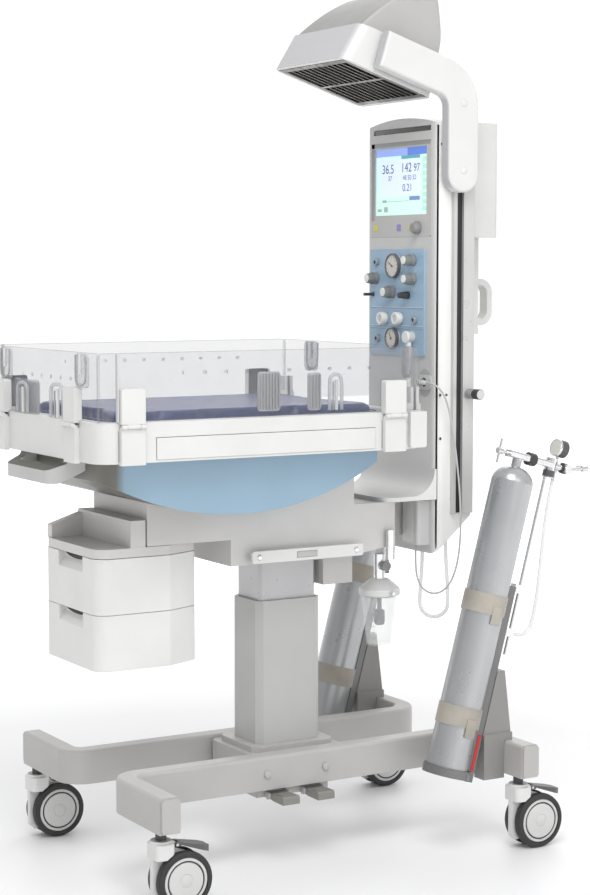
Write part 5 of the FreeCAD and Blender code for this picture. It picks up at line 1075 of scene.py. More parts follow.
@dataclass
class Casters:
    """Twin wheels with soft tyres and domed discs."""

    pivot_x: float = 0.320
    pivot_front_y: float = -0.450
    pivot_rear_y: float = 0.460
    trail: float = 0.044
    radius: float = 0.0625
    inner: float = 0.008
    width: float = 0.022

    def tyre_outline(self) -> list[tuple[float, float]]:
        """Give the tyre's section as radius and distance pairs.

        Returns:
            The pairs for add_lathe.
        """
        wide = self.width
        rim = self.radius - 0.0125
        crown = [
            (self.radius - 0.0035 * (1.0 - math.sin(a)), wide / 2.0 - (wide / 2.0 - 0.0012) * math.cos(a))
            for a in (0.25, 0.6, 1.0, 1.35, 1.571, 1.79, 2.14, 2.54, 2.89)
        ]
        return [(rim, 0.0008), (rim + 0.004, 0.0002)] + crown + [
            (rim + 0.004, wide - 0.0002), (rim, wide - 0.0008),
        ]

    def disc_outline(self) -> list[tuple[float, float]]:
        """Give the disc's section, with a groove near its rim and a raised hub.

        Returns:
            The pairs for add_lathe.
        """
        wide = self.width
        rim = self.radius - 0.0126
        return [
            (0.0, 0.002), (rim - 0.002, 0.002), (rim, 0.004), (rim, wide - 0.0035),
            (rim - 0.0015, wide - 0.0018), (rim - 0.0065, wide - 0.0012), (rim - 0.0075, wide - 0.0034),
            (rim - 0.0100, wide - 0.0034), (rim - 0.0110, wide - 0.0012), (0.016, wide - 0.0002),
            (0.014, wide - 0.0014), (0.012, wide - 0.0002), (0.0, wide),
        ]

    def groove_outline(self) -> list[tuple[float, float]]:
        """Give the dark ring that lies in the disc's groove.

        Returns:
            The pairs for add_lathe.
        """
        wide = self.width
        rim = self.radius - 0.0126
        return [
            (rim - 0.0099, wide - 0.0036), (rim - 0.0098, wide - 0.0020), (rim - 0.0077, wide - 0.0020),
            (rim - 0.0076, wide - 0.0036), (rim - 0.0099, wide - 0.0036),
        ]

    def wheel(self, corner: str, x: float, y: float) -> None:
        """Make one caster's twin wheels.

        Args:
            corner: The caster's name.
            x: Its swivel, across.
            y: Its swivel, along.
        """
        body = "wheel_" + corner
        for part, outline, look in (
            ("tyres", self.tyre_outline(), Look.TYRE),
            ("discs", self.disc_outline(), Look.WHEEL),
            ("grooves", self.groove_outline(), Look.TYRE),
        ):
            shape = bmesh.new()
            for side in (-1, 1):
                start = (x + side * self.inner, y + self.trail, self.radius)
                add_lathe(shape, outline, start, (side, 0.0, 0.0), 64)
            piece = finish_mesh(f"{part}_{corner}", shape, look, body)
            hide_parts("caster_wheels_" + corner)

    def build(self) -> None:
        """Make the wheels at all four corners."""
        for corner, x, y in (
            ("front_near", self.pivot_x, self.pivot_front_y),
            ("front_far", -self.pivot_x, self.pivot_front_y),
            ("rear_near", self.pivot_x, self.pivot_rear_y),
            ("rear_far", -self.pivot_x, self.pivot_rear_y),
        ):
            self.wheel(corner, x, y)


@dataclass
class Base:
    """Small parts of the base: pedal ridges and the rails' screw caps."""

    pedal_y: tuple[float, float] = (-0.066, 0.024)
    pedal_tip: float = 0.192
    pedal_top: float = 0.1602

    def build(self) -> None:
        """Add the ridges on the pedals and the rails' screw caps."""
        for name, body, y in (
            ("pedal_ridges_up", "pedal_raise", self.pedal_y[0]),
            ("pedal_ridges_down", "pedal_lower", self.pedal_y[1]),
        ):
            shape = bmesh.new()
            for i in range(5):
                x = self.pedal_tip - 0.006 - 0.006 * i
                add_block(
                    shape, (x - 0.0014, y - 0.017, self.pedal_top - 0.001),
                    (x + 0.0014, y + 0.017, self.pedal_top + 0.0007), 0.0005,
                )
            finish_mesh(name, shape, Look.PEDAL, body)
        shape = bmesh.new()
        for side in (-1, 1):
            for y in (-0.100, 0.050):
                outline = [
                    (0.0, 0.0), (0.0086, 0.0), (0.0090, 0.0006), (0.0080, 0.0016), (0.0045, 0.0024),
                    (0.0, 0.0026),
                ]
                add_lathe(shape, outline, (side * 0.1508, y, 0.204), (side, 0.0, 0.0), 32)
        finish_mesh("rail_screw_caps", shape, Look.FRAME, "base")


# The bassinet

@dataclass
class Mattress:
    """The foam pad in its navy cover."""

    half_x: float = 0.236
    front_y: float = -0.500
    rear_y: float = 0.142
    bottom: float = 0.9853
    thick: float = 0.034
    corner: float = 0.045
    voxel: float = 0.006
    pressure: float = 4.0
    frames: int = 20

    def raw_shape(self) -> bmesh.types.BMesh:
        """Give the pad's plain form.

        Returns:
            The mesh.
        """
        shape = bmesh.new()
        half_y = (self.rear_y - self.front_y) / 2.0
        place = Matrix.Translation((0.0, (self.rear_y + self.front_y) / 2.0, self.bottom))
        add_plate(shape, rounded_outline(self.half_x, half_y, self.corner, 10), self.thick, 0.008, place)
        return shape

    def puff(self, piece: bpy.types.Object) -> None:
        """Blow the cover up a little as cloth and keep the result.

        Args:
            piece: The pad.
        """
        remesh = piece.modifiers.new("even mesh", "REMESH")
        remesh.mode = "VOXEL"
        remesh.voxel_size = self.voxel
        self.apply(piece)
        cloth = piece.modifiers.new("cover", "CLOTH")
        settings = cloth.settings
        settings.use_pressure = True
        settings.uniform_pressure_force = self.pressure
        settings.effector_weights.gravity = 0.0
        settings.tension_stiffness = 40.0
        settings.compression_stiffness = 40.0
        settings.bending_stiffness = 3.0
        settings.quality = 5
        cloth.collision_settings.use_collision = False
        for step in range(1, self.frames + 1):
            bpy.context.scene.frame_set(step)
        self.apply(piece)
        bpy.context.scene.frame_set(1)

    def apply(self, piece: bpy.types.Object) -> None:
        """Make the modified shape the piece's own mesh.

        Args:
            piece: The pad.
        """
        depsgraph = bpy.context.evaluated_depsgraph_get()
        mesh = bpy.data.meshes.new_from_object(piece.evaluated_get(depsgraph))
        piece.modifiers.clear()
        piece.data = mesh

    def settle(self, piece: bpy.types.Object) -> None:
        """Lay the pad flat on the deck and keep it in its place.

        Args:
            piece: The pad.
        """
        top = self.bottom + self.thick
        for vertex in piece.data.vertices:
            vertex.co.z = max(self.bottom, min(vertex.co.z, top + 0.0045))
            vertex.co.x = max(-0.2400, min(vertex.co.x, 0.2400))
            vertex.co.y = max(-0.5040, min(vertex.co.y, 0.1460))

    def piping(self) -> None:
        """Sew a welt round the cover's top edge."""
        half_y = (self.rear_y - self.front_y) / 2.0
        middle = (self.rear_y + self.front_y) / 2.0
        outline = rounded_outline(self.half_x + 0.0022, half_y + 0.0022, self.corner, 10)
        points = [(x, y + middle, self.bottom + self.thick * 0.62) for x, y in outline]
        sweep("mattress_welt", points + points[:1], 0.0013, Look.PAD, "bed", sides=2)

    def build(self) -> None:
        """Make the pad and its welt."""
        piece = finish_mesh("mattress_cover", self.raw_shape(), Look.PAD, "bed")
        self.puff(piece)
        self.settle(piece)
        piece.data.materials.clear()
        piece.data.materials.append(Look.PAD.material())
        for face in piece.data.polygons:
            face.use_smooth = True
        piece.modifiers.new("smooth", "SUBSURF").levels = 1
        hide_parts("mattress")
        self.piping()


@dataclass
class Bassinet:
    """What sits on the tray and its clear walls: marks, tube holders, latches, and the painted shade in the
    tray's gaps.
    """

    panel_x: float = 0.294
    tray_x: float = 0.300
    hinge_y: tuple[float, float] = (-0.501, 0.128)
    front_y: float = -0.569
    mark_z: float = 1.103
    mark_y: float = -0.380
    mark_step: float = 0.050
    mark_size: float = 0.010
    mark_front_x: float = -0.093
    mark_front_z: float = 1.090
    rod: float = 0.0042

    def wall_marks(self) -> None:
        """Print plain length numbers along the near, far and front walls."""
        for name, body, side in (("marks_near", "wall_near", 1), ("marks_far", "wall_far", -1)):
            shape = bmesh.new()
            turn = Matrix.Rotation(QUARTER_TURN, 4, "Z") @ Matrix.Rotation(QUARTER_TURN, 4, "X")
            for i in range(10):
                x = side * (self.panel_x - 0.0001) - (0.0 if side > 0 else 0.0002)
                y = self.mark_y + self.mark_step * i
                add_figures(
                    shape, str(5 * (i + 1)), self.mark_size,
                    Matrix.Translation((x, y, self.mark_z)) @ turn,
                )
            finish_mesh(name, shape, Look.MARK, body)
        shape = bmesh.new()
        for i in range(6):
            x = self.mark_front_x + self.mark_step * i
            add_figures(
                shape, str(5 * (i + 1)), self.mark_size,
                facing_front(x, self.front_y, self.mark_front_z),
            )
        finish_mesh("marks_front", shape, Look.MARK, "wall_front")

    def ribbed_holder(self, name: str, y0: float, y1: float, z0: float, z1: float) -> None:
        """Hang a ribbed tube holder on the near wall's inner side.

        Args:
            name: The piece's name.
            y0: Its front end.
            y1: Its rear end.
            z0: Its bottom.
            z1: Its top.
        """
        x = self.panel_x - 0.0100
        shape = bmesh.new()
        place = Matrix.Translation((x, (y0 + y1) / 2.0, (z0 + z1) / 2.0))
        place = place @ Matrix.Rotation(-QUARTER_TURN, 4, "Y")
        add_plate(shape, rounded_outline((z1 - z0) / 2.0, (y1 - y0) / 2.0, 0.006), 0.005, 0.001, place)
        finish_mesh(name, shape, Look.PLATE, "wall_near")
        shape = bmesh.new()
        count = max(3, round((y1 - y0) / 0.0075))
        for i in range(count):
            y = y0 + (i + 0.5) * (y1 - y0) / count
            add_block(
                shape, (x - 0.0004, y - 0.0017, z0 + 0.003), (x + 0.0036, y + 0.0017, z1 - 0.004),
                0.0010,
            )
        finish_mesh(name + "_ribs", shape, Look.HOLDER, "wall_near")

    def loop(self, name: str, start: Point, across: Point, body: str) -> None:
        """Bend a clear rod into an upside-down U with a white tab in its middle.

        Args:
            name: The piece's name.
            start: The foot of its first leg.
            across: How far the second leg stands from it, with the height in z.
            body: The CAD body that it rides on.
        """
        foot = Vector(start)
        aside = Vector((across[0], across[1], 0.0))
        up = Vector((0.0, 0.0, across[2]))
        points = [
            foot, foot + up * 0.4, foot + up * 0.82, foot + up * 0.94 + aside * 0.10,
            foot + up + aside * 0.32,
            foot + up + aside * 0.68, foot + up * 0.94 + aside * 0.90, foot + up * 0.82 + aside,
            foot + up * 0.4 + aside, foot + aside,
        ]
        sweep(name, [tuple(p) for p in points], self.rod, Look.CLIP, body)
        inner = foot + aside * 0.30
        line = [inner, inner + up * 0.4, inner + up * 0.8]
        sweep(name + "_line", [tuple(p) for p in line], self.rod * 0.45, Look.GREY, body)
        middle = foot + aside * 0.56
        tab = [middle, middle + up * 0.3, middle + up * 0.6, middle + up * 0.86]
        sweep(name + "_tab", [tuple(p) for p in tab], self.rod * 0.9, Look.WHITE, body)

    def holders(self) -> None:
        """Add the ribbed holders and the clear loops."""
        self.ribbed_holder("tube_holder_rear", -0.0760, -0.0445, 1.018, 1.098)
        self.ribbed_holder("tube_holder_front", -0.1976, -0.1446, 1.020, 1.103)
        x = self.panel_x - 0.0115
        self.loop("tube_loop_rear", (x, -0.0225, 1.017), (0.0, 0.0300, 0.076), "wall_near")
        y = self.front_y + 0.0065
        shape = bmesh.new()
        for i in range(11):
            x = -0.148 + i * 0.0110
            add_block(shape, (x - 0.0025, y + 0.004, 1.010), (x + 0.0025, y + 0.009, 1.076), 0.0012)
        add_block(shape, (-0.155, y, 1.003), (-0.030, y + 0.005, 1.081), 0.002)
        finish_mesh("tube_holder_foot", shape, Look.CLIP_GREY, "wall_front")
        y = self.front_y - self.rod - 0.0002
        self.loop("tube_loop_foot_far", (-0.112, y, 1.010), (0.052, 0.0, 0.064), "wall_front")
        self.loop("tube_loop_foot_near", (0.066, y, 1.009), (0.062, 0.0, 0.070), "wall_front")

    def latch(self, name: str, body: str, x0: float, x1: float, y: float, out: int) -> None:
        """Hang one clear J-shaped latch over a wall's upper edge.

        Args:
            name: The piece's name.
            body: The wall's body.
            x0: Its far side.
            x1: Its near side.
            y: The wall's outer face.
            out: Which way along y is outwards.
        """
        wide = x1 - x0
        place = Matrix.Translation(((x0 + x1) / 2.0, y if out < 0 else y + 0.005, 1.112))
        shape = bmesh.new()
        add_plate(
            shape, rounded_outline(wide / 2.0, 0.0345, 0.009), 0.005, 0.0012,
            place @ Matrix.Rotation(QUARTER_TURN, 4, "X"),
        )
        finish_mesh(name, shape, Look.CLIP_GREY, body)
        mid = y + out * 0.0062
        edge = [
            (x0 + 0.003, mid, 1.144), (x0 + 0.003, mid, 1.118), (x0 + 0.003, mid, 1.092),
            (x0 + 0.010, mid, 1.084), (x0 + wide * 0.5, mid, 1.081), (x1 - 0.010, mid, 1.087),
            (x1 - 0.003, mid, 1.098), (x1 - 0.003, mid, 1.144),
        ]
        sweep(name + "_edge", edge, 0.0017, Look.GREY, body)
        bar = [
            (x0 + wide * 0.45, mid, 1.145), (x0 + wide * 0.45, mid, 1.125),
            (x0 + wide * 0.45, mid, 1.105),
        ]
        sweep(name + "_bar", bar, 0.0030, Look.WHITE, body)

    def latches(self) -> None:
        """Add the four clear corner latches that lock the walls together."""
        front = self.front_y
        rear = 0.197
        self.latch("latch_foot_near", "wall_front", 0.192, 0.248, front, -1)
        self.latch("latch_foot_far", "wall_front", -0.205, -0.150, front, -1)
        self.latch("latch_rear_near", "wall_rear", 0.226, 0.264, rear, 1)
        self.latch("latch_rear_far", "wall_rear", -0.194, -0.138, rear, 1)

    def lips(self) -> None:
        """Add the narrow upright lips in front of the side walls' front hinges."""
        for name, body, side in (("lip_near", "wall_near", 1), ("lip_far", "wall_far", -1)):
            shape = bmesh.new()
            low_x, high_x = sorted((side * 0.2940, side * 0.3040))
            add_block(shape, (low_x, -0.5325, 1.0100), (high_x, -0.5283, 1.1480), 0.0012)
            finish_mesh(name, shape, Look.PALE_GREY, body)

    def gap_shade(self) -> None:
        """Paint the shade in the gaps beside the hinge blocks of the tray as dark strips."""
        # Painted shade: thin dark strips stand for the contact shade between the hinge blocks and the tray.
        shape = bmesh.new()
        for side in (-1, 1):
            low_x, high_x = sorted((side * (self.tray_x - 0.0002), side * (self.tray_x + 0.0006)))
            for middle in self.hinge_y:
                for y in (middle - 0.0285, middle + 0.0285):
                    add_block(shape, (low_x, y - 0.0010, 0.9300), (high_x, y + 0.0010, 0.9930), 0.0)
        finish_mesh("tray_gap_shade", shape, Look.GREY, "bed")

    def build(self) -> None:
        """Add every detail of the bassinet."""
        self.wall_marks()
        self.holders()
        self.latches()
        self.lips()
        self.gap_shade()


# The console

@dataclass
class Display:
    """The screen's picture, its frame and the keys beside the dial."""

    front_y: float = 0.343
    glass_y: float = 0.3452
    left: float = -0.108
    right: float = 0.108
    low: float = 1.443
    high: float = 1.598

    def tile(self, name: str, span: tuple[float, float, float, float], layer: int, look: Look) -> None:
        """Lay a thin tile on the screen.

        Args:
            name: The piece's name.
            span: Left, right, low and high as shares of the lit field.
            layer: How many tiles lie under it.
            look: Its finish.
        """
        wide = self.right - self.left
        tall = self.high - self.low
        y = self.glass_y - 0.00025 * layer
        shape = bmesh.new()
        add_block(
            shape,
            (self.left + span[0] * wide, y - 0.0004, self.low + span[2] * tall),
            (self.left + span[1] * wide, y, self.low + span[3] * tall),
            0.0,
        )
        finish_mesh(name, shape, look, "lift")

    def picture(self) -> None:
        """Lay out the fields, key column and bars."""
        self.tile("screen_field", (0.0, 1.0, 0.0, 1.0), 0, Look.SCREEN)
        self.tile("screen_header", (0.0, 0.62, 0.885, 1.0), 1, Look.SCREEN_BAR_LIGHT)
        self.tile("screen_header_right", (0.62, 1.0, 0.885, 1.0), 1, Look.SCREEN_BAR)
        self.tile("screen_tab", (0.50, 0.86, 0.835, 0.885), 1, Look.SCREEN_TAB)
        self.tile("screen_lower", (0.0, 0.90, 0.0, 0.27), 1, Look.SCREEN_LOW)
        self.tile("screen_window", (0.09, 0.86, 0.29, 0.82), 1, Look.SCREEN_PALE)
        self.tile("screen_key_ground", (0.90, 1.0, 0.0, 0.885), 1, Look.SCREEN_LOW)
        for i in range(8):
            low = 0.055 + 0.104 * i
            self.tile(f"screen_key_{i + 1}", (0.915, 0.99, low, low + 0.062), 2, Look.SCREEN_KEYS)
        self.tile("screen_button", (0.66, 0.86, 0.215, 0.275), 2, Look.SCREEN_BUTTON)
        self.tile("screen_line", (0.14, 0.64, 0.205, 0.212), 2, Look.SCREEN_GREY)
        self.tile("screen_mark_low", (0.13, 0.21, 0.196, 0.232), 2, Look.SCREEN_GREY)
        self.tile("screen_mark_left", (0.035, 0.115, 0.06, 0.10), 2, Look.SCREEN_GREY)
        self.tile("screen_mark_right", (0.165, 0.235, 0.05, 0.13), 2, Look.SCREEN_GREY)

    def readings(self) -> None:
        """Set the plain numbers of the three rows."""
        wide = self.right - self.left
        tall = self.high - self.low
        rows = (
            ("36.5", 0.24, 0.63, 0.030), ("142", 0.60, 0.64, 0.030), ("97", 0.80, 0.64, 0.026),
            ("37", 0.28, 0.52, 0.016), ("48 50 52", 0.66, 0.52, 0.016), ("0.21", 0.62, 0.355, 0.024),
        )
        for i, (words, across, up, size) in enumerate(rows):
            figures(
                f"reading_{i + 1}", words, size, self.left + across * wide, self.low + up * tall,
                self.glass_y - 0.0008, Look.SCREEN_INK, "lift",
            )

    def keys(self) -> None:
        """Add the three coloured keys and the violet plate beside the dial."""
        for name, x, look in (
            ("key_left", -0.106, Look.YELLOW), ("key_middle", -0.006, Look.PURPLE),
            ("key_right", 0.044, Look.YELLOW),
        ):
            shape = bmesh.new()
            add_block(
                shape, (x - 0.0075, self.front_y - 0.0022, 1.4065),
                (x + 0.0075, self.front_y + 0.001, 1.4215), 0.0012,
            )
            finish_mesh(name, shape, look, "lift")
        shape = bmesh.new()
        place = facing_front(0.080, self.front_y + 0.0002, 1.413)
        add_plate(shape, rounded_outline(0.028, 0.017, 0.015), 0.0006, 0.0, place)
        finish_mesh("dial_plate", shape, Look.DIAL_PLATE, "lift")

    def rim(self) -> None:
        """Frame the screen with a soft dark shade on its left and top."""
        shape = bmesh.new()
        y = self.front_y
        add_block(shape, (-0.1245, y - 0.0006, 1.431), (-0.111, y + 0.001, 1.612), 0.0004)
        add_block(shape, (-0.1245, y - 0.0006, 1.6015), (0.1245, y + 0.001, 1.612), 0.0004)
        finish_mesh("screen_shade", shape, Look.BEZEL_DARK, "lift")

    def build(self) -> None:
        """Make the display's looks."""
        self.picture()
        self.readings()
        self.keys()
        self.rim()


@dataclass
class Gauge:
    """A round pressure gauge: dark rim, pale face, ticks and needle."""

    name: str
    x: float
    z: float
    radius: float
    face_y: float
    aim: float

    def build(self) -> None:
        """Make the rim, the face, the ticks and the needle."""
        y = self.face_y
        shape = bmesh.new()
        r = self.radius
        ring = [
            (r * 0.86, -0.001), (r * 0.86, 0.0022), (r * 0.93, 0.0030), (r, 0.0018),
            (r + 0.0004, -0.006), (r * 0.86, -0.006),
        ]
        add_lathe(shape, ring, (self.x, y, self.z), TO_FOOT, 48)
        finish_mesh(self.name + "_rim", shape, Look.GAUGE_RIM, "lift")
        shape = bmesh.new()
        add_lathe(
            shape, [(0.0, 0.0), (r * 0.87, 0.0), (r * 0.87, 0.0006), (0.0, 0.0006)],
            (self.x, y, self.z), TO_FOOT, 48,
        )
        finish_mesh(self.name + "_face", shape, Look.GAUGE_FACE, "lift")
        shape = bmesh.new()
        for i in range(11):
            angle = math.radians(225.0 - 27.0 * i)
            turn = facing_front(self.x, y - 0.0006, self.z) @ Matrix.Rotation(angle, 4, "Z")
            add_block(shape, (r * 0.66, -0.0005, 0.0), (r * 0.78, 0.0005, 0.0003), 0.0, turn)
        turn = facing_front(self.x, y - 0.0009, self.z) @ Matrix.Rotation(math.radians(self.aim), 4, "Z")
        add_block(shape, (-r * 0.15, -0.0008, 0.0), (r * 0.62, 0.0008, 0.0004), 0.0, turn)
        add_lathe(
            shape, round_outline(0.0024, 0.0016, 0.0005), (self.x, y - 0.0005, self.z),
            TO_FOOT, 20,
        )
        finish_mesh(self.name + "_marks", shape, Look.MARK, "lift")


@dataclass
class Console:
    """The console's controls and trim."""

    face_y: float = 0.338
    gauge_front: float = 0.329
    taper: float = 0.222
    knob_deep: float = 0.0275
    grip_ridges: int = 18
    plug_z: float = 1.058

    def knob_caps(self) -> None:
        """Put the pale front faces and the grip ridges on the knobs."""
        for node, body, x, z, radius in (
            ("knob_flow", "flow_knob", 0.061, 1.338, 0.014),
            ("knob_pressure", "pressure_knob", -0.096, 1.296, 0.014),
            ("knob_blend", "blend_knob", 0.062, 1.295, 0.014),
            ("knob_suction", "suction_knob", -0.026, 1.264, 0.015),
        ):
            front = self.face_y - self.knob_deep
            shape = bmesh.new()
            face = radius * 0.62
            cap = [
                (face + 0.0006, 0.002), (face + 0.0006, -0.0006), (face - 0.0006, -0.0014),
                (0.0, -0.0014),
            ]
            add_lathe(shape, cap[::-1], (x, front, z), (0.0, 1.0, 0.0), 36)
            finish_mesh(node + "_cap", shape, Look.IVORY, body)
            shape = bmesh.new()
            for i in range(self.grip_ridges):
                angle = 2.0 * math.pi * i / self.grip_ridges
                turn = Matrix.Translation((x, front, z)) @ Matrix.Rotation(angle, 4, "Y")
                turn = turn @ Matrix.Translation((radius * 0.72, 0.0, 0.0))
                turn = turn @ Matrix.Rotation(-self.taper, 4, "Z")
                add_block(shape, (-0.0008, 0.0010, -0.0009), (0.0005, 0.0165, 0.0009), 0.0004, turn)
            finish_mesh(node + "_grip", shape, Look.KNOB, body)

    def ports(self) -> None:
        """Add collars to the ports, with dark discs in their bores as painted shade, and pale faces to the
        capped outlets.
        """
        shape = bmesh.new()
        dark = bmesh.new()
        for x, z in ((-0.092, 1.334), (0.071, 1.200), (-0.086, 1.154)):
            ring = [(0.0046, 0.0), (0.0046, 0.0075), (0.0075, 0.0078), (0.0094, 0.0062), (0.0094, 0.0)]
            add_lathe(shape, ring, (x, self.face_y, z), TO_FOOT, 32)
            # Painted shade: a dark disc deep in each port's bore.
            add_lathe(
                dark, [(0.0, 0.0062), (0.0046, 0.0062), (0.0046, 0.0065), (0.0, 0.0065)],
                (x, self.face_y, z), TO_FOOT, 24,
            )
        finish_mesh("port_collars", shape, Look.PORT, "lift")
        finish_mesh("port_bore_shade", dark, Look.SLOT, "lift")
        for i, (x, z) in enumerate(((-0.056, 1.202), (0.008, 1.203))):
            shape = bmesh.new()
            cap = [
                (0.0148, 0.003), (0.0150, 0.014), (0.0140, 0.0168), (0.0095, 0.0172), (0.0085, 0.0155),
                (0.0, 0.0155),
            ]
            add_lathe(shape, [(0.0, 0.003)] + cap, (x, self.face_y, z), TO_FOOT, 36)
            finish_mesh(f"capped_outlet_{i + 1}", shape, Look.IVORY, "lift")
        shape = bmesh.new()
        lid = [
            (0.0, 0.019), (0.0, 0.0212), (0.0126, 0.0212), (0.0136, 0.020), (0.0136, 0.016),
            (0.0, 0.016),
        ]
        add_lathe(shape, lid[::-1], (0.059, self.face_y, 1.161), TO_FOOT, 36)
        finish_mesh("outlet_cap", shape, Look.IVORY, "lift")
        line = [(0.059, 0.328, z) for z in (1.150, 1.100, 1.050, 1.0125)]
        sweep("outlet_tube", line, 0.0069, Look.IVORY, "lift", steps=3)

    def gas_lines(self) -> None:
        """Draw the panel's pale dividing lines and printed arcs."""
        shape = bmesh.new()
        for x0, x1, z in ((-0.118, 0.103, 1.2285), (-0.118, 0.103, 1.1860)):
            add_block(
                shape, (x0, self.face_y - 0.0014, z - 0.0007), (x1, self.face_y - 0.0009, z + 0.0007),
                0.0,
            )
        arcs = ((0.061, 1.338, 0.020), (0.062, 1.295, 0.020), (-0.096, 1.296, 0.020), (-0.026, 1.264, 0.021))
        for x, z, r in arcs:
            for i in range(9):
                turn = facing_front(x, self.face_y - 0.0001, z) @ Matrix.Rotation(
                    math.radians(210.0 - 30.0 * i), 4, "Z",
                )
                add_block(shape, (r, -0.0005, 0.0), (r + 0.003, 0.0005, 0.0004), 0.0, turn)
        finish_mesh("gas_panel_lines", shape, Look.LINE, "lift")

    def lamp(self) -> None:
        """Fill the lamp slot with its dark lens."""
        shape = bmesh.new()
        add_block(shape, (-0.1178, 0.3450, 1.6325), (0.1238, 0.3468, 1.6435), 0.001)
        finish_mesh("lamp_lens", shape, Look.LENS, "lift")

    def side_trim(self) -> None:
        """Paint the shade in the side slots with dark sheets and dot the near side with its screws."""
        # Painted shade: dark sheets deep in the side slots.
        shape = bmesh.new()
        for side in (-1, 1):
            low_x, high_x = sorted((side * 0.1522, side * 0.1526))
            add_block(shape, (low_x, 0.3935, 0.757), (high_x, 0.4105, 1.638), 0.0)
        finish_mesh("track_slot_shade", shape, Look.SLOT, "lift")
        shape = bmesh.new()
        for side in (-1, 1):
            for y, z in ((0.355, 1.03), (0.372, 1.03), (0.356, 1.60), (0.356, 0.93)):
                dish = [(0.0, 0.0), (0.0032, 0.0), (0.0032, 0.0005), (0.0020, 0.0008), (0.0, 0.0008)]
                add_lathe(shape, dish, (side * 0.1498, y, z), (side, 0.0, 0.0), 20)
        finish_mesh("side_screws", shape, Look.DARK, "lift")

    def sensor(self) -> None:
        """Cover the sensor box and put the cable's gland under it."""
        shape = bmesh.new()
        add_block(shape, (0.0604, 0.3102, 0.6845), (0.1090, 0.3430, 0.7850), 0.006)
        finish_mesh("sensor_cover", shape, Look.WHITE, "lift")
        shape = bmesh.new()
        add_lathe(
            shape, [(0.0, 0.0), (0.006, 0.0), (0.006, 0.006), (0.0045, 0.010), (0.0, 0.010)][::-1],
            (0.094, 0.327, 0.6905), (0.0, 0.0, -1.0), 24,
        )
        finish_mesh("sensor_gland", shape, Look.DARK, "lift")

    def sockets(self) -> None:
        """Lay a grey plate over the oval recess as its painted shade, add its socket and plug, and dress the
        side's stub with its grips.
        """
        # Painted shade: a thin grey plate in front of the console face stands for the soft shade in the oval
        # recess.
        shape = bmesh.new()
        place = facing_front(0.105, 0.3434, 1.056)
        add_plate(shape, rounded_outline(0.0235, 0.0320, 0.0234, 10), 0.0008, 0.0003, place)
        finish_mesh("socket_recess_shade", shape, Look.DISH, "lift")
        shape = bmesh.new()
        ring = [(0.0076, 0.0), (0.0076, 0.0035), (0.0100, 0.0035), (0.0112, 0.0022), (0.0112, 0.0)]
        add_lathe(shape, ring, (0.105, 0.3430, self.plug_z), TO_FOOT, 32)
        finish_mesh("socket_ring", shape, Look.DARK, "lift")
        shape = bmesh.new()
        add_lathe(
            shape, round_outline(0.0076, 0.0190, 0.0012), (0.105, 0.3412, self.plug_z),
            TO_FOOT, 32,
        )
        finish_mesh("socket_body", shape, Look.CHROME, "lift")
        shape = bmesh.new()
        add_lathe(
            shape, round_outline(0.0050, 0.0155, 0.0012), (0.1128, 0.330, self.plug_z), TO_NEAR,
            28,
        )
        finish_mesh("probe_plug", shape, Look.WHITE, "lift")
        shape = bmesh.new()
        for i in range(5):
            start = (0.164 + 0.0045 * i, 0.425, 1.032)
            add_lathe(shape, round_outline(0.0118, 0.0028, 0.0008), start, TO_NEAR, 32)
        finish_mesh("stub_grips", shape, Look.KNOB, "lift")
        shape = bmesh.new()
        add_lathe(shape, round_outline(0.0120, 0.0240, 0.0015), (0.1875, 0.425, 1.032), TO_NEAR, 36)
        finish_mesh("stub_sleeve", shape, Look.DARK, "lift")

    def build(self) -> None:
        """Make the console's looks."""
        Gauge("gauge_upper", -0.014, 1.325, 0.029, self.gauge_front, 150.0).build()
        Gauge("gauge_lower", -0.017, 1.156, 0.025, self.gauge_front, 120.0).build()
        self.knob_caps()
        self.ports()
        self.gas_lines()
        self.lamp()
        self.side_trim()
        self.sensor()
        self.sockets()


# The hood, the carrier and the stores

@dataclass
class Hood:
    """The screw caps on the hood's side arm."""

    arm_face: float = 0.186

    def build(self) -> None:
        """Add the arm's round caps."""
        shape = bmesh.new()
        for y, z in ((0.391, 1.540), (0.391, 1.690)):
            cap = [(0.0, 0.0), (0.0085, 0.0), (0.0088, 0.0004), (0.0078, 0.0010), (0.0, 0.0011)]
            add_lathe(shape, cap, (self.arm_face - 0.0001, y, z), TO_NEAR, 32)
        finish_mesh("arm_screw_caps", shape, Look.HOOD, "lift")


@dataclass
class Carrier:
    """The drawers' shaded handles, and the accessory rail's screws and plate."""

    scoop_y: float = -0.4876
    scoop_half: float = 0.062

    def drawer_slot(self, name: str, body: str, top: float) -> None:
        """Shade the slot under a drawer's upper edge as a dark crescent.

        Args:
            name: The piece's name.
            body: The drawer's body.
            top: The drawer's upper edge.
        """
        half = self.scoop_half - 0.0015
        low = [(half * math.cos(a), -0.0125 * math.sin(a)) for a in (math.pi * i / 16.0 for i in range(17))]
        shape = bmesh.new()
        add_plate(shape, low[::-1], 0.0005, 0.0, facing_front(0.0, self.scoop_y, top - 0.0006))
        finish_mesh(name, shape, Look.SLOT, body)

    def rail_details(self) -> None:
        """Add the rail's two screws and its small blank plate."""
        shape = bmesh.new()
        for y in (-0.124, 0.125):
            head = [(0.0, 0.0), (0.0062, 0.0), (0.0066, 0.0008), (0.0050, 0.0026), (0.0, 0.0030)]
            add_lathe(shape, head, (0.1578, y, 0.6905), TO_NEAR, 28)
        finish_mesh("rail_screws", shape, Look.CHROME, "lift")
        shape = bmesh.new()
        add_block(shape, (0.1576, -0.030, 0.6835), (0.1588, 0.022, 0.6975), 0.0012)
        finish_mesh("rail_plate", shape, Look.PLATE, "lift")

    def build(self) -> None:
        """Add the carrier's details."""
        self.rail_details()
        self.drawer_slot("slot_upper", "drawer_top", 0.708)
        self.drawer_slot("slot_lower", "drawer_bottom", 0.588)


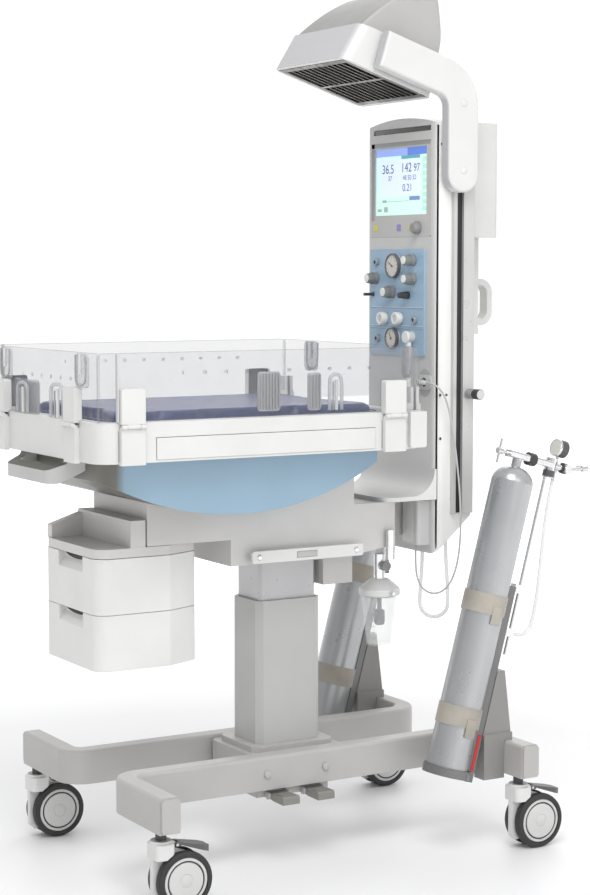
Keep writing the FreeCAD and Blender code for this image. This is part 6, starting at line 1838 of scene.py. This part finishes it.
@dataclass
class Cylinders:
    """Gauges, black sleeves, strap buckles and the red strip of the two cylinder sets."""

    def gauge(self, side: int, tag: str) -> None:
        """Dress a regulator's round gauge: dark case, bright band and pale face.

        Args:
            side: 1 for the near cylinder, -1 for the far one.
            tag: The end of the pieces' names.
        """
        axis = LEAN_TURN @ Vector(TO_FOOT)
        middle = leaning(0.0, 0.112, 0.774, side)
        back = Vector(middle) - axis * 0.013
        shape = bmesh.new()
        case = [
            (0.0, -0.0006), (0.0185, -0.0006), (0.0204, 0.0010), (0.0206, 0.020), (0.0204, 0.0205),
            (0.0, 0.0205),
        ]
        add_lathe(shape, case, tuple(back), tuple(axis), 40)
        finish_mesh("gauge_case_" + tag, shape, Look.GAUGE_CASE, "base")
        shape = bmesh.new()
        band = [(0.0182, 0.0200), (0.0208, 0.0202), (0.0210, 0.0250), (0.0202, 0.0266), (0.0182, 0.0266)]
        add_lathe(shape, band, tuple(back), tuple(axis), 40)
        finish_mesh("gauge_band_" + tag, shape, Look.CHROME, "base")
        shape = bmesh.new()
        add_lathe(
            shape, [(0.0, 0.0255), (0.0183, 0.0255), (0.0183, 0.0262), (0.0, 0.0262)], tuple(back),
            tuple(axis), 40,
        )
        finish_mesh("gauge_dial_" + tag, shape, Look.GAUGE_FACE, "base")

    def couplings(self, side: int, tag: str) -> None:
        """Put the black sleeves on the yoke bar and on the regulator's body.

        Args:
            side: 1 for the near cylinder, -1 for the far one.
            tag: The end of the pieces' names.
        """
        shape = bmesh.new()
        along = tuple(LEAN_TURN @ Vector((0.0, 1.0, 0.0)))
        for y, length, radius in ((0.026, 0.022, 0.0150), (0.128, 0.014, 0.0125)):
            add_lathe(shape, round_outline(radius, length, 0.002), leaning(0.0, y, 0.732, side), along, 32)
        finish_mesh("yoke_sleeves_" + tag, shape, Look.DARK, "base")
        shape = bmesh.new()
        up = tuple(LEAN_TURN @ Vector(UPWARDS))
        add_lathe(shape, round_outline(0.0138, 0.016, 0.002), leaning(0.0, 0.096, 0.7035, side), up, 32)
        finish_mesh("regulator_sleeve_" + tag, shape, Look.GAUGE_CASE, "base")

    def buckles(self, side: int, tag: str) -> None:
        """Put a folded buckle on each strap.

        Args:
            side: 1 for the near cylinder, -1 for the far one.
            tag: The end of the pieces' names.
        """
        turn = Matrix.Translation(leaning(0.0, 0.0, 0.0, side)) @ LEAN_TURN
        shape = bmesh.new()
        for z in (0.106, 0.366):
            add_block(
                shape, (side * 0.0505 - 0.0022, -0.010, z - 0.021),
                (side * 0.0505 + 0.0022, 0.016, z + 0.021), 0.0018, turn,
            )
        finish_mesh("strap_buckles_" + tag, shape, Look.STRAP, "base")

    def hem(self) -> None:
        """Put the red strip beside the near rack's foot."""
        turn = Matrix.Translation(leaning(0.0, 0.0, 0.0)) @ LEAN_TURN
        shape = bmesh.new()
        add_block(shape, (0.0130, 0.0560, 0.010), (0.0142, 0.0640, 0.095), 0.0005, turn)
        finish_mesh("rack_strip", shape, Look.RED, "base")

    def build(self) -> None:
        """Dress both cylinder sets."""
        for side, tag in ((1, "near"), (-1, "far")):
            self.gauge(side, tag)
            self.couplings(side, tag)
            self.buckles(side, tag)
        self.hem()


@dataclass
class Suction:
    """The suction jar's lid, cone, float valve and scale, and the valve's knob."""

    x: float = 0.078
    y: float = 0.238
    low: float = 0.453
    top: float = 0.570

    def build(self) -> None:
        """Make the lid, the cone, the float, the scale and the valve's knob."""
        start = (self.x, self.y, self.top)
        shape = bmesh.new()
        lid = [
            (0.0, -0.004), (0.0385, -0.004), (0.0385, 0.0), (0.0474, 0.0002), (0.0476, 0.0125),
            (0.0462, 0.0146), (0.0450, 0.0148), (0.0, 0.0148),
        ]
        add_lathe(shape, lid, start, UPWARDS, 56)
        finish_mesh("jar_lid", shape, Look.WHITE, "lift")
        shape = bmesh.new()
        cone = [
            (0.0, 0.0140), (0.0456, 0.0142), (0.0440, 0.0165), (0.0300, 0.0295), (0.0200, 0.0364),
            (0.0, 0.0370),
        ]
        add_lathe(shape, cone, start, UPWARDS, 56)
        finish_mesh("jar_cone", shape, Look.PALE_GREY, "lift")
        shape = bmesh.new()
        float_valve = [
            (0.0, -0.072), (0.010, -0.071), (0.0125, -0.066), (0.0125, -0.040), (0.010, -0.036),
            (0.005, -0.035), (0.005, -0.004), (0.0, -0.004),
        ]
        add_lathe(shape, float_valve, start, UPWARDS, 32)
        finish_mesh("jar_float", shape, Look.DARK, "lift")
        shape = bmesh.new()
        for i in range(6):
            z = self.low + 0.018 + 0.014 * i
            radius = 0.029 + (0.042 - 0.029) * (z - self.low) / (self.top - self.low)
            for step in range(5):
                turn = Matrix.Translation((self.x, self.y, z)) @ Matrix.Rotation(
                    math.radians(-62.0 + 3.0 * step), 4, "Z",
                )
                add_block(
                    shape, (radius - 0.0002, -0.0008, -0.0004), (radius + 0.0003, 0.0008, 0.0004), 0.0,
                    turn,
                )
        finish_mesh("jar_scale", shape, Look.MARK, "lift")
        shape = bmesh.new()
        add_lathe(
            shape, round_outline(0.0114, 0.0165, 0.0018), (self.x + 0.0160, self.y, 0.638),
            TO_NEAR, 36,
        )
        finish_mesh("suction_valve_knob", shape, Look.KNOB, "lift")


def main() -> None:
    """Build the studio and every part of the warmer, and report each."""
    logging.basicConfig(level=logging.INFO, format="%(name)s: %(message)s")
    for maker in (
        Studio(), Cords(), Dressing(), Casters(), Base(), Mattress(), Bassinet(), Display(), Console(),
        Hood(), Carrier(), Cylinders(), Suction(),
    ):
        maker.build()
        LOG.info("built %s", type(maker).__name__)


if __name__ == "__main__":
    main()
